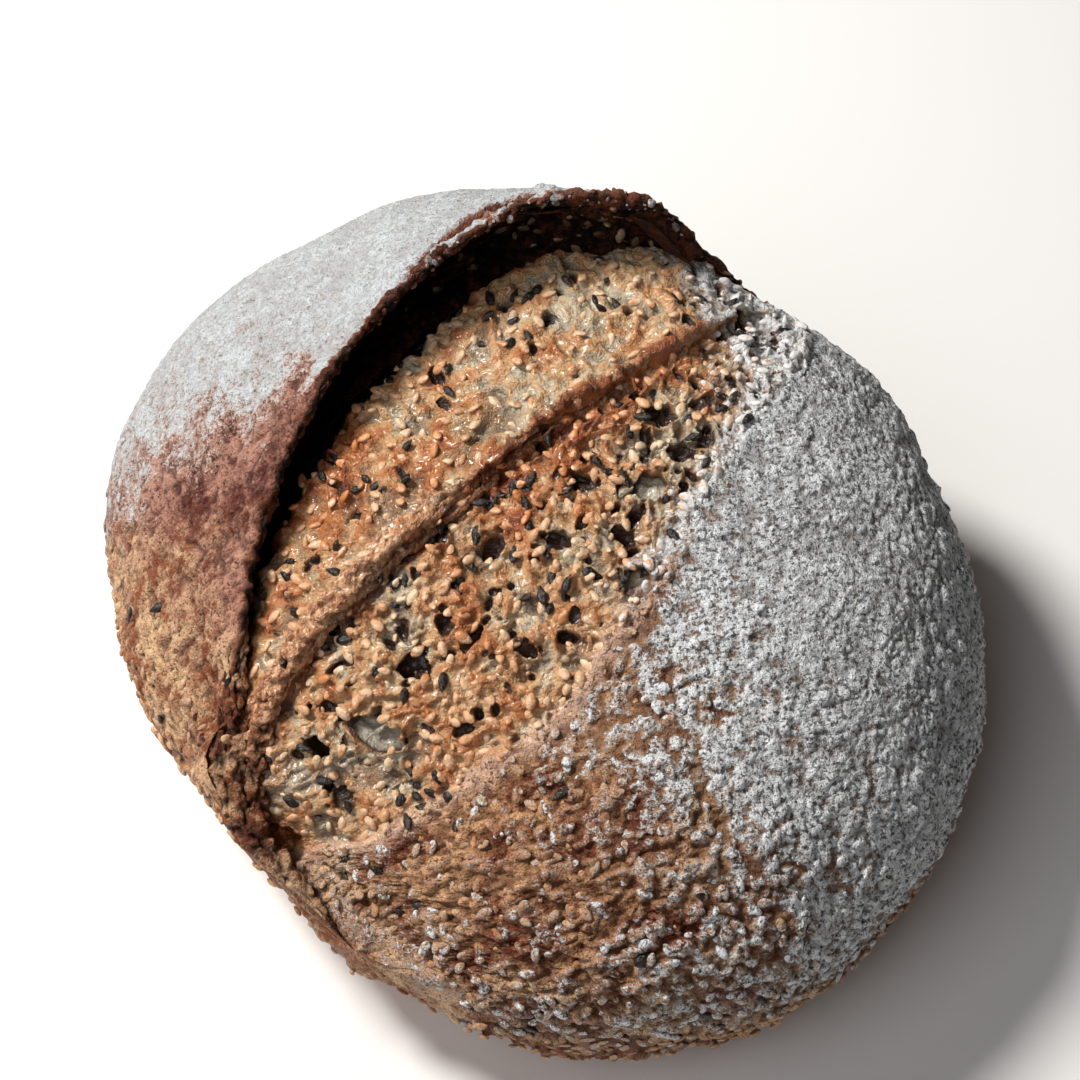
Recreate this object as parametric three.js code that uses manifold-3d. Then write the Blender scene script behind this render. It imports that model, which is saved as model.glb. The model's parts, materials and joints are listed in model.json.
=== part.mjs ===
// A round sourdough loaf with seeds in it, burst open along one deep slash. Millimetres, +Z up, resting on z = 0.
// The loaf is built across its slash: x runs across it, from the lifted ear of crust to the floured dome,
// y runs along it, from the heel to the shoulder, and z is up. The finished mesh is then turned and centred.
import * as THREE from "three";
import { ImprovedNoise } from "three/addons/math/ImprovedNoise.js";
import { mergeVertices } from "three/addons/utils/BufferGeometryUtils.js";
import Module from "manifold-3d";

const wasm = await Module();
wasm.setup();

const { cos, sin, PI } = Math;
const clamp = THREE.MathUtils.clamp;
const noise = new ImprovedNoise();
const TURN = THREE.MathUtils.degToRad(-40);
const BOX_CENTRE = [-1.36, 4.38]; // middle of the turned loaf's box, brought to the origin

// Outline, seen from above and from the side
const WIDEST = 30; // height at which the loaf is widest
const TOP = 74; // crown of the dome, were it whole
const HEEL = 67.8; // how far the loaf reaches along the slash, each way
const SHOULDER = 78.4;
const EAR_SIDE = 98.8; // how far it reaches across the slash, each way
const DOME_SIDE = 82.7;
const TIP_HEEL = 12.9; // where, across the slash, the two ends lie
const TIP_SHOULDER = 6;
const EAR_MIDDLE = 2.2; // where, along the slash, each side is widest
const DOME_MIDDLE = -0.5;
const TUCK = 41; // how far the underside would round down, were it not flat

// The burst slash at nine places along it: the ear's rim, the ridge between the two torn faces and the
// edge of the dome's crust as [x, z], and the gap under the ear as [depth, reach behind the rim].
const STATIONS = [
  { y: -65, rim: [-16, 43], ridge: [-14.5, 42], crust: [-1, 33], gap: [3, 1] },
  { y: -55, rim: [-27, 54], ridge: [-22.5, 51.5], crust: [6, 43], gap: [13, 2] },
  { y: -40, rim: [-37.5, 63.5], ridge: [-24, 62], crust: [14.2, 53], gap: [24, 4] },
  { y: -20, rim: [-45.5, 74], ridge: [-21.5, 70.5], crust: [20.8, 62], gap: [28, 6] },
  { y: 3, rim: [-49.5, 84], ridge: [-18, 75.5], crust: [20, 70], gap: [32, 7] },
  { y: 28, rim: [-46.5, 90.5], ridge: [-12.5, 78], crust: [16.2, 73], gap: [35, 7] },
  { y: 48, rim: [-39.5, 92], ridge: [-7.5, 76], crust: [12.6, 72], gap: [34, 6] },
  { y: 61, rim: [-26.5, 87], ridge: [-5.2, 71.5], crust: [10, 68.5], gap: [25, 4] },
  { y: 72, rim: [-11, 63], ridge: [-0.5, 62.5], crust: [6.5, 61.5], gap: [3, 1] },
];
const FULL_GAP = 24; // a gap this deep gives the rim, the ridge's lip and the crust's edge their full size
const RIM_THICKNESS = 3.8;
const RIDGE_LIP = 2.8;
const CRUST_LIP = 1.35;

// Places where the dough swelled past the plain form: [x, y, z, radius, height]
const SWELLS = [
  [15, 80, 46, 16, 3.2],
  [-17, -70, 38, 12, 3],
  [11, -68, 23, 13, 2.6],
  [-51, -57, 34, 18, 1.7],
  [75, 37, 32, 18, 0.6],
];
const CORE = new THREE.Vector3(5, 5, 26); // swelling pushes outwards from here
const TORN_RELIEF = 1.6; // crags of the torn faces, and the size of one
const CRAG = 6.5;

// Facets
const CUTS = 44; // sections along the slash
const SIDES = {
  foot: 2, tuck: 5, ear: 12, rim: 2, wall: 4, faceA: 9, lip: 2, faceB: 11, edge: 2, dome: 13,
};

// Seeds
const SEED = { length: 3.4, width: 2.2, thickness: 1.6, sunk: 0.1 };
const SEED_COUNT = 146;
const SEED_GAP_TORN = 8; // least distance between two seeds, on the torn faces and on the crust
const SEED_GAP_CRUST = 12;
const SEED_TOP = 50; // above this the crust's seeds lie under its flour
const SEED_FOOT = 8;
const RANDOM_SEED = 20;

// Half of a rounded outline that reaches a below zero and b above it: 1 in the middle, 0 at both ends.
function arch(t, a, b, power) {
  const r = clamp(t < 0 ? -t / a : t / b, 0, 1);
  return (1 - r ** power) ** (1 / power);
}

const spine = (y) => TIP_HEEL + ((TIP_SHOULDER - TIP_HEEL) * (y + HEEL)) / (HEEL + SHOULDER);

// Where the loaf's section at y begins, ends and tops out.
function extent(y) {
  const middle = spine(y);
  const left = arch(y - EAR_MIDDLE, HEEL + EAR_MIDDLE, SHOULDER - EAR_MIDDLE, 2.02);
  const right = arch(y - DOME_MIDDLE, HEEL + DOME_MIDDLE, SHOULDER - DOME_MIDDLE, 2.12);
  return {
    left: middle - (EAR_SIDE + middle) * left,
    right: middle + (DOME_SIDE - middle) * right,
    top: WIDEST + (TOP - WIDEST) * arch(y, HEEL, SHOULDER, y < 0 ? 2.5 : 3.05),
  };
}

// A smooth curve through the points that never overshoots them.
function through(xs, ys, x) {
  const last = xs.length - 1;
  const i = clamp(xs.findLastIndex((v) => v <= x), 0, last - 1);
  const rise = (k) => (ys[k + 1] - ys[k]) / (xs[k + 1] - xs[k]);
  const slope = (k) => {
    if (k === 0) return rise(0);
    if (k === last) return rise(last - 1);
    const [a, b] = [rise(k - 1), rise(k)];
    return a * b <= 0 ? 0 : (2 * a * b) / (a + b);
  };
  const width = xs[i + 1] - xs[i];
  const t = clamp((x - xs[i]) / width, 0, 1);
  return (
    (1 + 2 * t) * (1 - t) ** 2 * ys[i] +
    t * (1 - t) ** 2 * width * slope(i) +
    t * t * (3 - 2 * t) * ys[i + 1] +
    t * t * (t - 1) * width * slope(i + 1)
  );
}

// One of the slash's lines at y, held as a share of the section so that it closes at both ends.
function line(name, y) {
  const shares = STATIONS.map((s) => {
    const e = extent(s.y);
    return [(s[name][0] - e.left) / (e.right - e.left), (s[name][1] - WIDEST) / (e.top - WIDEST)];
  });
  const all = [shares[0], ...shares, shares.at(-1)];
  const ys = [-HEEL, ...STATIONS.map((s) => s.y), SHOULDER];
  const e = extent(y);
  return new THREE.Vector2(
    e.left + through(ys, all.map((s) => s[0]), y) * (e.right - e.left),
    WIDEST + through(ys, all.map((s) => s[1]), y) * (e.top - WIDEST),
  );
}

const STATION_YS = STATIONS.map((s) => s.y);
const gapAt = (y, k) => through(STATION_YS, STATIONS.map((s) => s.gap[k]), clamp(y, -65, 72));

// The section across the loaf at y, as points [x, z, torn] from the middle of its base round by the ear.
function section(y) {
  const at = (x, z) => new THREE.Vector2(x, z);
  const { left, right, top } = extent(y);
  const size = Math.min(1, 1.3 * arch(y, HEEL, SHOULDER, 2.2));
  const base = WIDEST - TUCK * arch(y, HEEL, SHOULDER, 2.3);
  const rim = line("rim", y);
  const ridge = line("ridge", y);
  const crust = line("crust", y);
  const depth = gapAt(y, 0) * size;
  const reach = gapAt(y, 1) * size;
  const open = clamp(depth / FULL_GAP, 0.04, 1);
  const grown = (small, full) => (small + (full - small) * open) * size;

  const rimAngle = THREE.MathUtils.degToRad(42 - 12 * open);
  const rimWay = at(cos(rimAngle), sin(rimAngle));
  const rimThick = grown(0.8, RIM_THICKNESS);
  const inner = rim.clone().add(at(rimWay.y, -rimWay.x).multiplyScalar(rimThick));
  const gapEnd = at(rim.x - reach, rim.y - depth);
  const lip = grown(0.2, RIDGE_LIP);
  const under = at(ridge.x + 0.55 * lip, ridge.y - lip);
  const step = grown(0.15, CRUST_LIP);
  const dome = at(crust.x + 0.9 * step, crust.y + step);
  const run = ridge.x - gapEnd.x;
  const tear = crust.x - under.x;
  // Where the crust's edge lies low, the dome puffs up beyond it.
  const puff = THREE.MathUtils.degToRad(2.2 * clamp(top - dome.y - 4, 0, 10) - 5);

  const points = [];
  const put = (p, torn) => points.push([p.x, Math.max(p.y, 0), torn]);
  const bezier = (n, torn, p0, p1, p2, p3) =>
    new THREE.CubicBezierCurve(p0, p1, p2, p3).getPoints(n).slice(0, n).forEach((p) => put(p, torn));
  const underside = (side, t) =>
    at(
      spine(y) + (side - spine(y)) * Math.max(cos((t * PI) / 2), 0) ** 0.8,
      WIDEST - (WIDEST - base) * sin((t * PI) / 2) ** 0.8,
    );
  const low = SIDES.foot + SIDES.tuck;

  for (let i = 0; i < low; i++) put(underside(left, 1 - i / low), 0);
  bezier(SIDES.ear, 0, at(left, WIDEST), at(left, WIDEST + 0.56 * (rim.y - WIDEST)),
    at(rim.x - 0.41 * rimWay.x * (rim.x - left), rim.y - 0.41 * rimWay.y * (rim.x - left)), rim);
  bezier(SIDES.rim, 0, rim, rim.clone().addScaledVector(rimWay, rimThick / 2),
    inner.clone().addScaledVector(rimWay, rimThick / 2), inner);
  bezier(SIDES.wall, 0, inner, inner.clone().addScaledVector(rimWay, -0.2 * depth),
    at(gapEnd.x - 0.15 * depth, gapEnd.y + 0.45 * depth), gapEnd);
  bezier(SIDES.faceA, 0.6, gapEnd, at(gapEnd.x + 0.1 * depth, gapEnd.y + 0.7 * depth),
    at(ridge.x - 0.49 * run, ridge.y - 0.11 * run), ridge);
  bezier(SIDES.lip, 0, ridge, at(ridge.x + 0.7 * lip, ridge.y - 0.1 * lip),
    at(under.x - 0.15 * lip, under.y + 0.3 * lip), under);
  bezier(SIDES.faceB, 1, under, at(under.x + 0.3 * tear, under.y - 0.04 * tear),
    at(crust.x - 0.3 * tear, crust.y + 0.05 * tear), crust);
  bezier(SIDES.edge, 0, crust, at(crust.x, crust.y + 0.5 * step), at(dome.x - 0.5 * step, dome.y), dome);
  bezier(SIDES.dome, 0, dome,
    at(dome.x + 0.56 * cos(puff) * (right - dome.x), dome.y + 0.56 * sin(puff) * (right - dome.x)),
    at(right, WIDEST + 0.56 * (top - WIDEST)), at(right, WIDEST));
  for (let i = 0; i < low; i++) put(underside(right, i / low), 0);
  return points;
}

// The point as the dough left it: swollen in places, gently uneven all over, and rough where it tore.
function risen(x, y, z, torn) {
  const p = new THREE.Vector3(x, y, z);
  const way = p.clone().sub(CORE).normalize();
  let out = 0.55 * sin(x / 9 + y / 17 + 0.6) * sin(y / 11 - x / 23 + 1.1);
  out += 0.35 * sin(x / 5.1 - z / 7) * sin(y / 6.3 + z / 9 + 0.5);
  out += TORN_RELIEF * torn * noise.noise(x / CRAG, y / CRAG, z / CRAG);
  for (const [sx, sy, sz, radius, height] of SWELLS) {
    const d2 = (x - sx) ** 2 + (y - sy) ** 2 + (z - sz) ** 2;
    out += height * Math.exp(-d2 / radius ** 2);
  }
  return p.addScaledVector(way, out * clamp(z / 6, 0, 1));
}

// The bare loaf: sections joined along the slash and closed to a point at each end.
// Each triangle keeps how torn it is.
function bareLoaf() {
  const rings = [];
  for (let k = 0; k < CUTS; k++) {
    const share = sin((-1 + (2 * (k + 1)) / (CUTS + 1)) * (PI / 2));
    const y = (SHOULDER - HEEL) / 2 + (share * (SHOULDER + HEEL)) / 2;
    rings.push(section(y).map(([x, z, torn]) => ({ p: risen(x, y, z, torn), torn })));
  }
  const end = (x, y) => ({ p: risen(x, y, WIDEST, 0), torn: 0 });
  const ends = [end(TIP_HEEL, -HEEL), end(TIP_SHOULDER, SHOULDER)];
  const triangles = [];
  const n = rings[0].length;
  for (let i = 0; i < n; i++) {
    const j = (i + 1) % n;
    triangles.push([ends[0], rings[0][j], rings[0][i]], [ends[1], rings[CUTS - 1][i], rings[CUTS - 1][j]]);
    for (let k = 0; k + 1 < CUTS; k++) {
      const [a, b] = [rings[k], rings[k + 1]];
      triangles.push([a[i], b[j], b[i]], [a[i], a[j], b[j]]);
    }
  }
  return triangles;
}

function solidOf(geometry) {
  const bare = geometry.index ? geometry.toNonIndexed() : geometry;
  const positions = new THREE.BufferGeometry().setAttribute("position", bare.getAttribute("position"));
  const merged = mergeVertices(positions, 1e-3);
  return new wasm.Manifold(
    new wasm.Mesh({
      numProp: 3,
      vertProperties: merged.attributes.position.array,
      triVerts: new Uint32Array(merged.index.array),
    }),
  );
}

function geometryOf(solid) {
  const mesh = solid.getMesh();
  const positions = new Float32Array(mesh.numVert * 3);
  for (let i = 0; i < mesh.numVert; i++) {
    positions.set(mesh.vertProperties.subarray(i * mesh.numProp, i * mesh.numProp + 3), 3 * i);
  }
  const geometry = new THREE.BufferGeometry();
  geometry.setAttribute("position", new THREE.BufferAttribute(positions, 3));
  geometry.setIndex(new THREE.BufferAttribute(mesh.triVerts, 1));
  geometry.computeVertexNormals();
  return geometry;
}

function randomFrom(start) {
  let state = start;
  return () => {
    state = (state + 0x6d2b79f5) | 0;
    let t = Math.imul(state ^ (state >>> 15), 1 | state);
    t = (t + Math.imul(t ^ (t >>> 7), 61 | t)) ^ t;
    return ((t ^ (t >>> 14)) >>> 0) / 2 ** 32;
  };
}

// Seeds lie thick on the torn faces and round the lower crust, each at least a set distance from the next.
function seedPlaces(triangles) {
  const random = randomFrom(RANDOM_SEED);
  const faces = triangles.map((corners) => {
    const [a, b, c] = corners.map((corner) => corner.p);
    const normal = b.clone().sub(a).cross(c.clone().sub(a));
    return { a, b, c, normal, torn: Math.min(...corners.map((corner) => corner.torn)) };
  });
  const area = faces.reduce((sum, face) => sum + face.normal.length(), 0);
  const places = [];
  const pick = () => {
    let left = random() * area;
    return faces.find((face) => (left -= face.normal.length()) <= 0) ?? faces.at(-1);
  };
  for (let tries = 0; places.length < SEED_COUNT && tries < 20000; tries++) {
    const face = pick();
    const [s, t] = [random(), random()];
    const [f, g] = s + t > 1 ? [1 - s, 1 - t] : [s, t];
    const at = face.a.clone().multiplyScalar(1 - f - g).addScaledVector(face.b, f).addScaledVector(face.c, g);
    const normal = face.normal.clone().normalize();
    const spin = random() * PI;
    const scale = 0.88 + 0.24 * random();
    const onTorn = face.torn > 0 && normal.z > 0.35;
    const fromSlash = at.x < line("rim", at.y).x - 6 || at.x > line("crust", at.y).x + 5;
    const onCrust = face.torn === 0 && at.z > SEED_FOOT && at.z < SEED_TOP && fromSlash;
    const apart = onTorn ? SEED_GAP_TORN : SEED_GAP_CRUST;
    if (!onTorn && !onCrust) continue;
    if (places.some((other) => other.at.distanceTo(at) < apart)) continue;
    places.push({ at, normal, spin, scale });
  }
  return places;
}

function seedSolid({ at, normal, spin, scale }) {
  const seed = new THREE.IcosahedronGeometry(0.5);
  seed.scale(SEED.length * scale, SEED.width * scale, SEED.thickness * scale);
  seed.rotateZ(spin);
  seed.applyQuaternion(new THREE.Quaternion().setFromUnitVectors(new THREE.Vector3(0, 0, 1), normal));
  const centre = at.clone().addScaledVector(normal, -SEED.sunk);
  seed.translate(centre.x, centre.y, centre.z);
  return solidOf(seed);
}

function seededLoaf() {
  const triangles = bareLoaf();
  const corners = triangles.flat().map((corner) => corner.p);
  let solid = solidOf(new THREE.BufferGeometry().setFromPoints(corners));
  for (const place of seedPlaces(triangles)) solid = solid.add(seedSolid(place));
  return geometryOf(solid);
}

const crust = new THREE.MeshStandardMaterial({ color: "#a98a6c", roughness: 0.85, metalness: 0 });
const loaf = new THREE.Mesh(seededLoaf(), crust);
loaf.name = "loaf";
loaf.rotation.z = TURN;
loaf.position.set(-BOX_CENTRE[0], -BOX_CENTRE[1], 0);

const group = new THREE.Group();
group.add(loaf);
export default group;
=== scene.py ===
"""A round seeded sourdough loaf, burst open along one deep slash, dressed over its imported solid.

The form is worked out in millimetres in the loaf's own directions: x runs across the slash, from the lifted
ear of crust to the floured dome, y runs along it, from the heel to the shoulder, and z is up. place() turns
a point of that form into metres in the frame.
"""
import json
import math
from types import SimpleNamespace

import bpy
import numpy as np
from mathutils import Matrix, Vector
from mathutils.kdtree import KDTree

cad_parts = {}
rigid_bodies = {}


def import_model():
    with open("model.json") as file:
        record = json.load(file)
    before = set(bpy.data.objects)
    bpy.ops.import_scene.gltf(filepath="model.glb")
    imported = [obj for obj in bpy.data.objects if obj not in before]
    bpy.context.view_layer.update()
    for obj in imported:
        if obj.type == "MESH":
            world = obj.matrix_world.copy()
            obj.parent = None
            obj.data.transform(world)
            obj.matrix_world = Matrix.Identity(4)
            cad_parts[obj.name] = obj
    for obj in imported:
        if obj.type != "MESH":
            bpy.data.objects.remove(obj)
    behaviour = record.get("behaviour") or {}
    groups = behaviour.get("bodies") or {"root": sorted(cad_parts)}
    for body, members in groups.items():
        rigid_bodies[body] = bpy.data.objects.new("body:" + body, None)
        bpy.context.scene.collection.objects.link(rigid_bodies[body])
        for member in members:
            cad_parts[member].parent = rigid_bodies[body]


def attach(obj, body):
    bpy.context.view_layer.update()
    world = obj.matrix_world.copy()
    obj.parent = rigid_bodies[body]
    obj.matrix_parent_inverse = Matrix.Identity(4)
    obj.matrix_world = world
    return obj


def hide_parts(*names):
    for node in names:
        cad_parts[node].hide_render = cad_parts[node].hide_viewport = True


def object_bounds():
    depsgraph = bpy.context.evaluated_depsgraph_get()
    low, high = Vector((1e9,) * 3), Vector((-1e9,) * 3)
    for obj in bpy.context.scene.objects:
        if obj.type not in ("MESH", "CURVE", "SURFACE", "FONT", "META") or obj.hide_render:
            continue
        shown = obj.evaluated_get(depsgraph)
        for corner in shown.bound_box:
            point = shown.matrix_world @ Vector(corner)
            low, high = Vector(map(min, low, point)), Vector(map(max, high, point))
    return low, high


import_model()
cad_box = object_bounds()

MM = 0.001
TURN = math.radians(-40)  # of the slash, about the frame's upright
BOX_CENTRE = np.array([-1.36, 4.38, 0.0])  # the middle of the solid's box, in the loaf's directions
ACROSS = np.array([math.cos(TURN), math.sin(TURN), 0.0])
ALONG = np.array([-math.sin(TURN), math.cos(TURN), 0.0])
UP = np.array([0.0, 0.0, 1.0])
KNEE = 2 * MM  # how near the solid's box the dressed loaf is drawn in
rng = np.random.default_rng(20)

# -----------------------------------------------------------------------------------------------------------
# The loaf's form, in mm
# -----------------------------------------------------------------------------------------------------------
WIDEST = 30.0  # height of the loaf's widest outline
TOP = 74.0  # height that the outlines of the sections rise to
HEEL = 67.8  # from y = 0 to the loaf's end at the heel
SHOULDER = 78.4  # and to its end at the shoulder
EAR_SIDE = 98.8  # from x = 0 to the widest outline on the ear's side
DOME_SIDE = 82.7  # and on the dome's side
TIP_HEEL = 12.9  # x of the end at the heel
TIP_SHOULDER = 6.0  # x of the end at the shoulder
EAR_MIDDLE = 2.2  # y where the ear's side stands out furthest
DOME_MIDDLE = -0.5  # y where the dome's side does
DOME_LENGTH = 75  # of the dome's skin, from the crust's edge to the widest outline
TUCK = 41.0  # how far the underside curves down from the widest outline
# y; the ear's rim, the ridge between the torn faces and the crust's edge as (x, z); the gap's depth, reach
STATIONS = [
    (-65, (-16, 43), (-14.5, 42), (-1, 33), (3, 1)),
    (-55, (-27, 54), (-22.5, 51.5), (6, 43), (13, 2)),
    (-40, (-37.5, 63.5), (-24, 62), (14.2, 53), (24, 4)),
    (-20, (-45.5, 74), (-21.5, 70.5), (20.8, 62), (28, 6)),
    (3, (-49.5, 84), (-18, 75.5), (20, 70), (32, 7)),
    (28, (-46.5, 90.5), (-12.5, 78), (16.2, 73), (35, 7)),
    (48, (-39.5, 92), (-7.5, 76), (12.6, 72), (34, 6)),
    (61, (-26.5, 87), (-5.2, 71.5), (10, 68.5), (25, 4)),
    (72, (-11, 63), (-0.5, 62.5), (6.5, 61.5), (3, 1)),
]
FULL_GAP = 24.0  # the gap's depth where the burst is fully open
RIM_THICKNESS = 3.8
RIDGE_LIP = 2.8
CRUST_LIP = 1.35
# Where the dough swelled: x, y, z, radius and height
SWELLS = [
    (15, 80, 46, 16, 3.2),
    (-17, -70, 38, 12, 3),
    (11, -68, 23, 13, 2.6),
    (-51, -57, 34, 18, 1.7),
    (75, 37, 32, 18, 0.6),
]
CORE = np.array([5.0, 5.0, 26.0])  # the loaf's middle, from which the dough rose


def arch(t, below, above, power):
    """Half of a rounded outline: 1 in the middle, 0 at both ends."""
    r = min(max(-t / below if t < 0 else t / above, 0.0), 1.0)
    return (1 - r**power) ** (1 / power)


def spine(y):
    """The middle of the section at y."""
    return TIP_HEEL + (TIP_SHOULDER - TIP_HEEL) * (y + HEEL) / (HEEL + SHOULDER)


def extent(y):
    """Where the section across the loaf at y begins, ends and tops out."""
    middle = spine(y)
    left = arch(y - EAR_MIDDLE, HEEL + EAR_MIDDLE, SHOULDER - EAR_MIDDLE, 2.02)
    right = arch(y - DOME_MIDDLE, HEEL + DOME_MIDDLE, SHOULDER - DOME_MIDDLE, 2.12)
    top = WIDEST + (TOP - WIDEST) * arch(y, HEEL, SHOULDER, 2.5 if y < 0 else 3.05)
    return middle - (EAR_SIDE + middle) * left, middle + (DOME_SIDE - middle) * right, top


def through(xs, ys, x):
    """A smooth curve through the points that never overshoots them."""
    i = int(np.clip(np.searchsorted(xs, x, side="right") - 1, 0, len(xs) - 2))
    rise = np.diff(ys) / np.diff(xs)

    def slope(k):
        if k in (0, len(xs) - 1):
            return rise[min(k, len(rise) - 1)]
        a, b = rise[k - 1], rise[k]
        return 0.0 if a * b <= 0 else 2 * a * b / (a + b)

    width = xs[i + 1] - xs[i]
    t = min(max((x - xs[i]) / width, 0.0), 1.0)
    return (
        (1 + 2 * t) * (1 - t) ** 2 * ys[i]
        + t * (1 - t) ** 2 * width * slope(i)
        + t * t * (3 - 2 * t) * ys[i + 1]
        + t * t * (t - 1) * width * slope(i + 1)
    )


STATION_YS = np.array([s[0] for s in STATIONS], float)


def line_shares(column):
    """A line of the slash at each station, as shares of the section's width and height."""
    shares = []
    for station in STATIONS:
        left, right, top = extent(station[0])
        x, z = station[column]
        shares.append([(x - left) / (right - left), (z - WIDEST) / (top - WIDEST)])
    return np.array([shares[0], *shares, shares[-1]])


LINE_YS = np.array([-HEEL, *STATION_YS, SHOULDER])
LINES = {name: line_shares(k + 1) for k, name in enumerate(["rim", "ridge", "crust"])}


def line(name, y):
    """The point [x, z] of the rim, the ridge or the crust's edge at y."""
    left, right, top = extent(y)
    shares = LINES[name]
    return np.array([
        left + through(LINE_YS, shares[:, 0], y) * (right - left),
        WIDEST + through(LINE_YS, shares[:, 1], y) * (top - WIDEST),
    ])


def gap_at(y, k):
    """The depth of the gap under the ear at y, or its reach."""
    return through(STATION_YS, np.array([s[4][k] for s in STATIONS], float), min(max(y, -65.0), 72.0))


def bezier(count, *corners):
    """count points, evenly apart, from the first corner up to but without the last."""
    a, b, c, d = (np.array(p, float) for p in corners)
    t = np.linspace(0, 1, 4 * count + 1)[:, None]
    fine = (1 - t) ** 3 * a + 3 * (1 - t) ** 2 * t * b + 3 * (1 - t) * t**2 * c + t**3 * d
    run = np.concatenate([[0], np.cumsum(np.linalg.norm(np.diff(fine, axis=0), axis=1))])
    want = np.linspace(0, run[-1], count + 1)[:-1]
    return np.stack([np.interp(want, run, fine[:, 0]), np.interp(want, run, fine[:, 1])], 1)


def section(y, sides):
    """The strips of the section across the loaf at y, as {name: points [x, z]}."""
    left, right, top = extent(y)
    middle = spine(y)
    size = min(1.0, 1.3 * arch(y, HEEL, SHOULDER, 2.2))
    base = WIDEST - TUCK * arch(y, HEEL, SHOULDER, 2.3)
    rim, ridge, crust = line("rim", y), line("ridge", y), line("crust", y)
    depth, reach = gap_at(y, 0) * size, gap_at(y, 1) * size
    opened = min(max(depth / FULL_GAP, 0.04), 1.0)

    def grown(small, full):
        return (small + (full - small) * opened) * size

    angle = math.radians(42 - 12 * opened)
    way = np.array([math.cos(angle), math.sin(angle)])
    thick = grown(0.8, RIM_THICKNESS)
    inner = rim + np.array([way[1], -way[0]]) * thick
    gap_end = np.array([rim[0] - reach, rim[1] - depth])
    lip = grown(0.2, RIDGE_LIP)
    under = ridge + np.array([0.55 * lip, -lip])
    step = grown(0.15, CRUST_LIP)
    dome = crust + np.array([0.9 * step, step])
    run = ridge[0] - gap_end[0]
    tear = crust[0] - under[0]
    bed = grown(0.3, 8.0)
    puff = math.radians(2.2 * min(max(top - dome[1] - 4, 0.0), 10.0) - 5)
    widest_left, widest_right = np.array([left, WIDEST]), np.array([right, WIDEST])

    def underside(side, shares):
        a = np.asarray(shares) * math.pi / 2
        x = middle + (side - middle) * np.clip(np.cos(a), 0, None) ** 0.8
        return np.stack([x, WIDEST - (WIDEST - base) * np.sin(a) ** 0.8], 1)

    def cut(name, *corners):
        return bezier(sides[name], *corners) if sides.get(name) else np.zeros((0, 2))

    above_foot = np.linspace(0, 0.55, sides.get("tuck", 0) + 1)[:-1]
    low = np.concatenate([above_foot, np.linspace(0.55, 1, sides.get("foot", 0) + 1)])
    return {
        "low_left": underside(left, low[::-1][:-1]),
        "skirt_left": underside(left, np.linspace(0.3, 0, sides.get("skirt_left", 0) + 1)[:-1]),
        "skirt_right": underside(right, np.linspace(0, 0.3, sides.get("skirt_right", 1))),
        "ear": cut("ear", widest_left, widest_left + [0, 0.56 * (rim[1] - WIDEST)],
                   rim - way * 0.41 * (rim[0] - left), rim),
        "rim": cut("rim", rim, rim + way * thick / 2, inner + way * thick / 2, inner),
        "wall": cut("wall", inner, inner - way * depth * 0.2, gap_end + [-0.15 * depth, 0.45 * depth],
                    gap_end),
        "bed": cut("bed", gap_end, gap_end + [0.15 * run, -bed * 0.6], crust + [-0.3 * tear, -bed * 1.2],
                   crust + [-0.15 * step, -0.5 * step]),
        "face_a": cut("face_a", gap_end, gap_end + [0.1 * depth, 0.7 * depth],
                      ridge - np.array([0.49, 0.11]) * run, ridge),
        "lip": cut("lip", ridge, ridge + [0.7 * lip, -0.1 * lip], under + [-0.15 * lip, 0.3 * lip], under),
        "face_b": cut("face_b", under, under + [0.3 * tear, -0.04 * tear],
                      crust + [-0.3 * tear, 0.05 * tear], crust),
        "hem": cut("hem", crust, crust + [0.5 * step, -0.3 * step], crust + [1.2 * step, -1.0 * step],
                   crust + [1.6 * step, -2.2 * step]),
        "edge": cut("edge", crust, crust + [0, 0.5 * step], dome - [0.5 * step, 0], dome),
        "dome": cut("dome", dome,
                    dome + 0.56 * (right - dome[0]) * np.array([math.cos(puff), math.sin(puff)]),
                    widest_right + [0, 0.56 * (top - WIDEST)], widest_right),
        "low_right": underside(right, low[:-1]),
    }


def risen(points):
    """Points of the form, pushed out where the dough swelled."""
    x, y, z = points.T
    way = points - CORE
    way = way / np.linalg.norm(way, axis=1)[:, None]
    out = 0.55 * np.sin(x / 9 + y / 17 + 0.6) * np.sin(y / 11 - x / 23 + 1.1)
    out += 0.35 * np.sin(x / 5.1 - z / 7) * np.sin(y / 6.3 + z / 9 + 0.5)
    for sx, sy, sz, radius, height in SWELLS:
        out += height * np.exp(-((x - sx) ** 2 + (y - sy) ** 2 + (z - sz) ** 2) / radius**2)
    return points + way * (out * np.clip(z / 6, 0, 1))[:, None]


def place(points):
    """Points of the form as metres in the frame, drawn in a little where they come near the solid's box."""
    spots = (points[:, :1] * ACROSS + points[:, 1:2] * ALONG + points[:, 2:3] * UP - BOX_CENTRE) * MM
    low, high = (np.array(corner) for corner in cad_box)
    over = np.maximum(spots - (high - KNEE), 0)
    under = np.maximum((low + KNEE) * [1, 1, -1e3] - spots, 0)
    return spots - over + KNEE * np.tanh(over / KNEE) + under - KNEE * np.tanh(under / KNEE)


# -----------------------------------------------------------------------------------------------------------
# Patterns of relief, in mm. A layer number picks one random pattern of many.
# -----------------------------------------------------------------------------------------------------------
SKEW = np.array([[0.80, 0.36, 0.48], [-0.60, 0.48, 0.64], [0.0, -0.80, 0.60]])  # keeps hills off the axes
HEEL_FOLD = np.array([-22.0, -60.0, 45.0])  # where the burst ends at the heel


def ramp(value, low, high):
    """Rises smoothly from 0 at low to 1 at high."""
    t = np.clip((value - low) / (high - low), 0, 1)
    return t * t * (3 - 2 * t)


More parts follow.
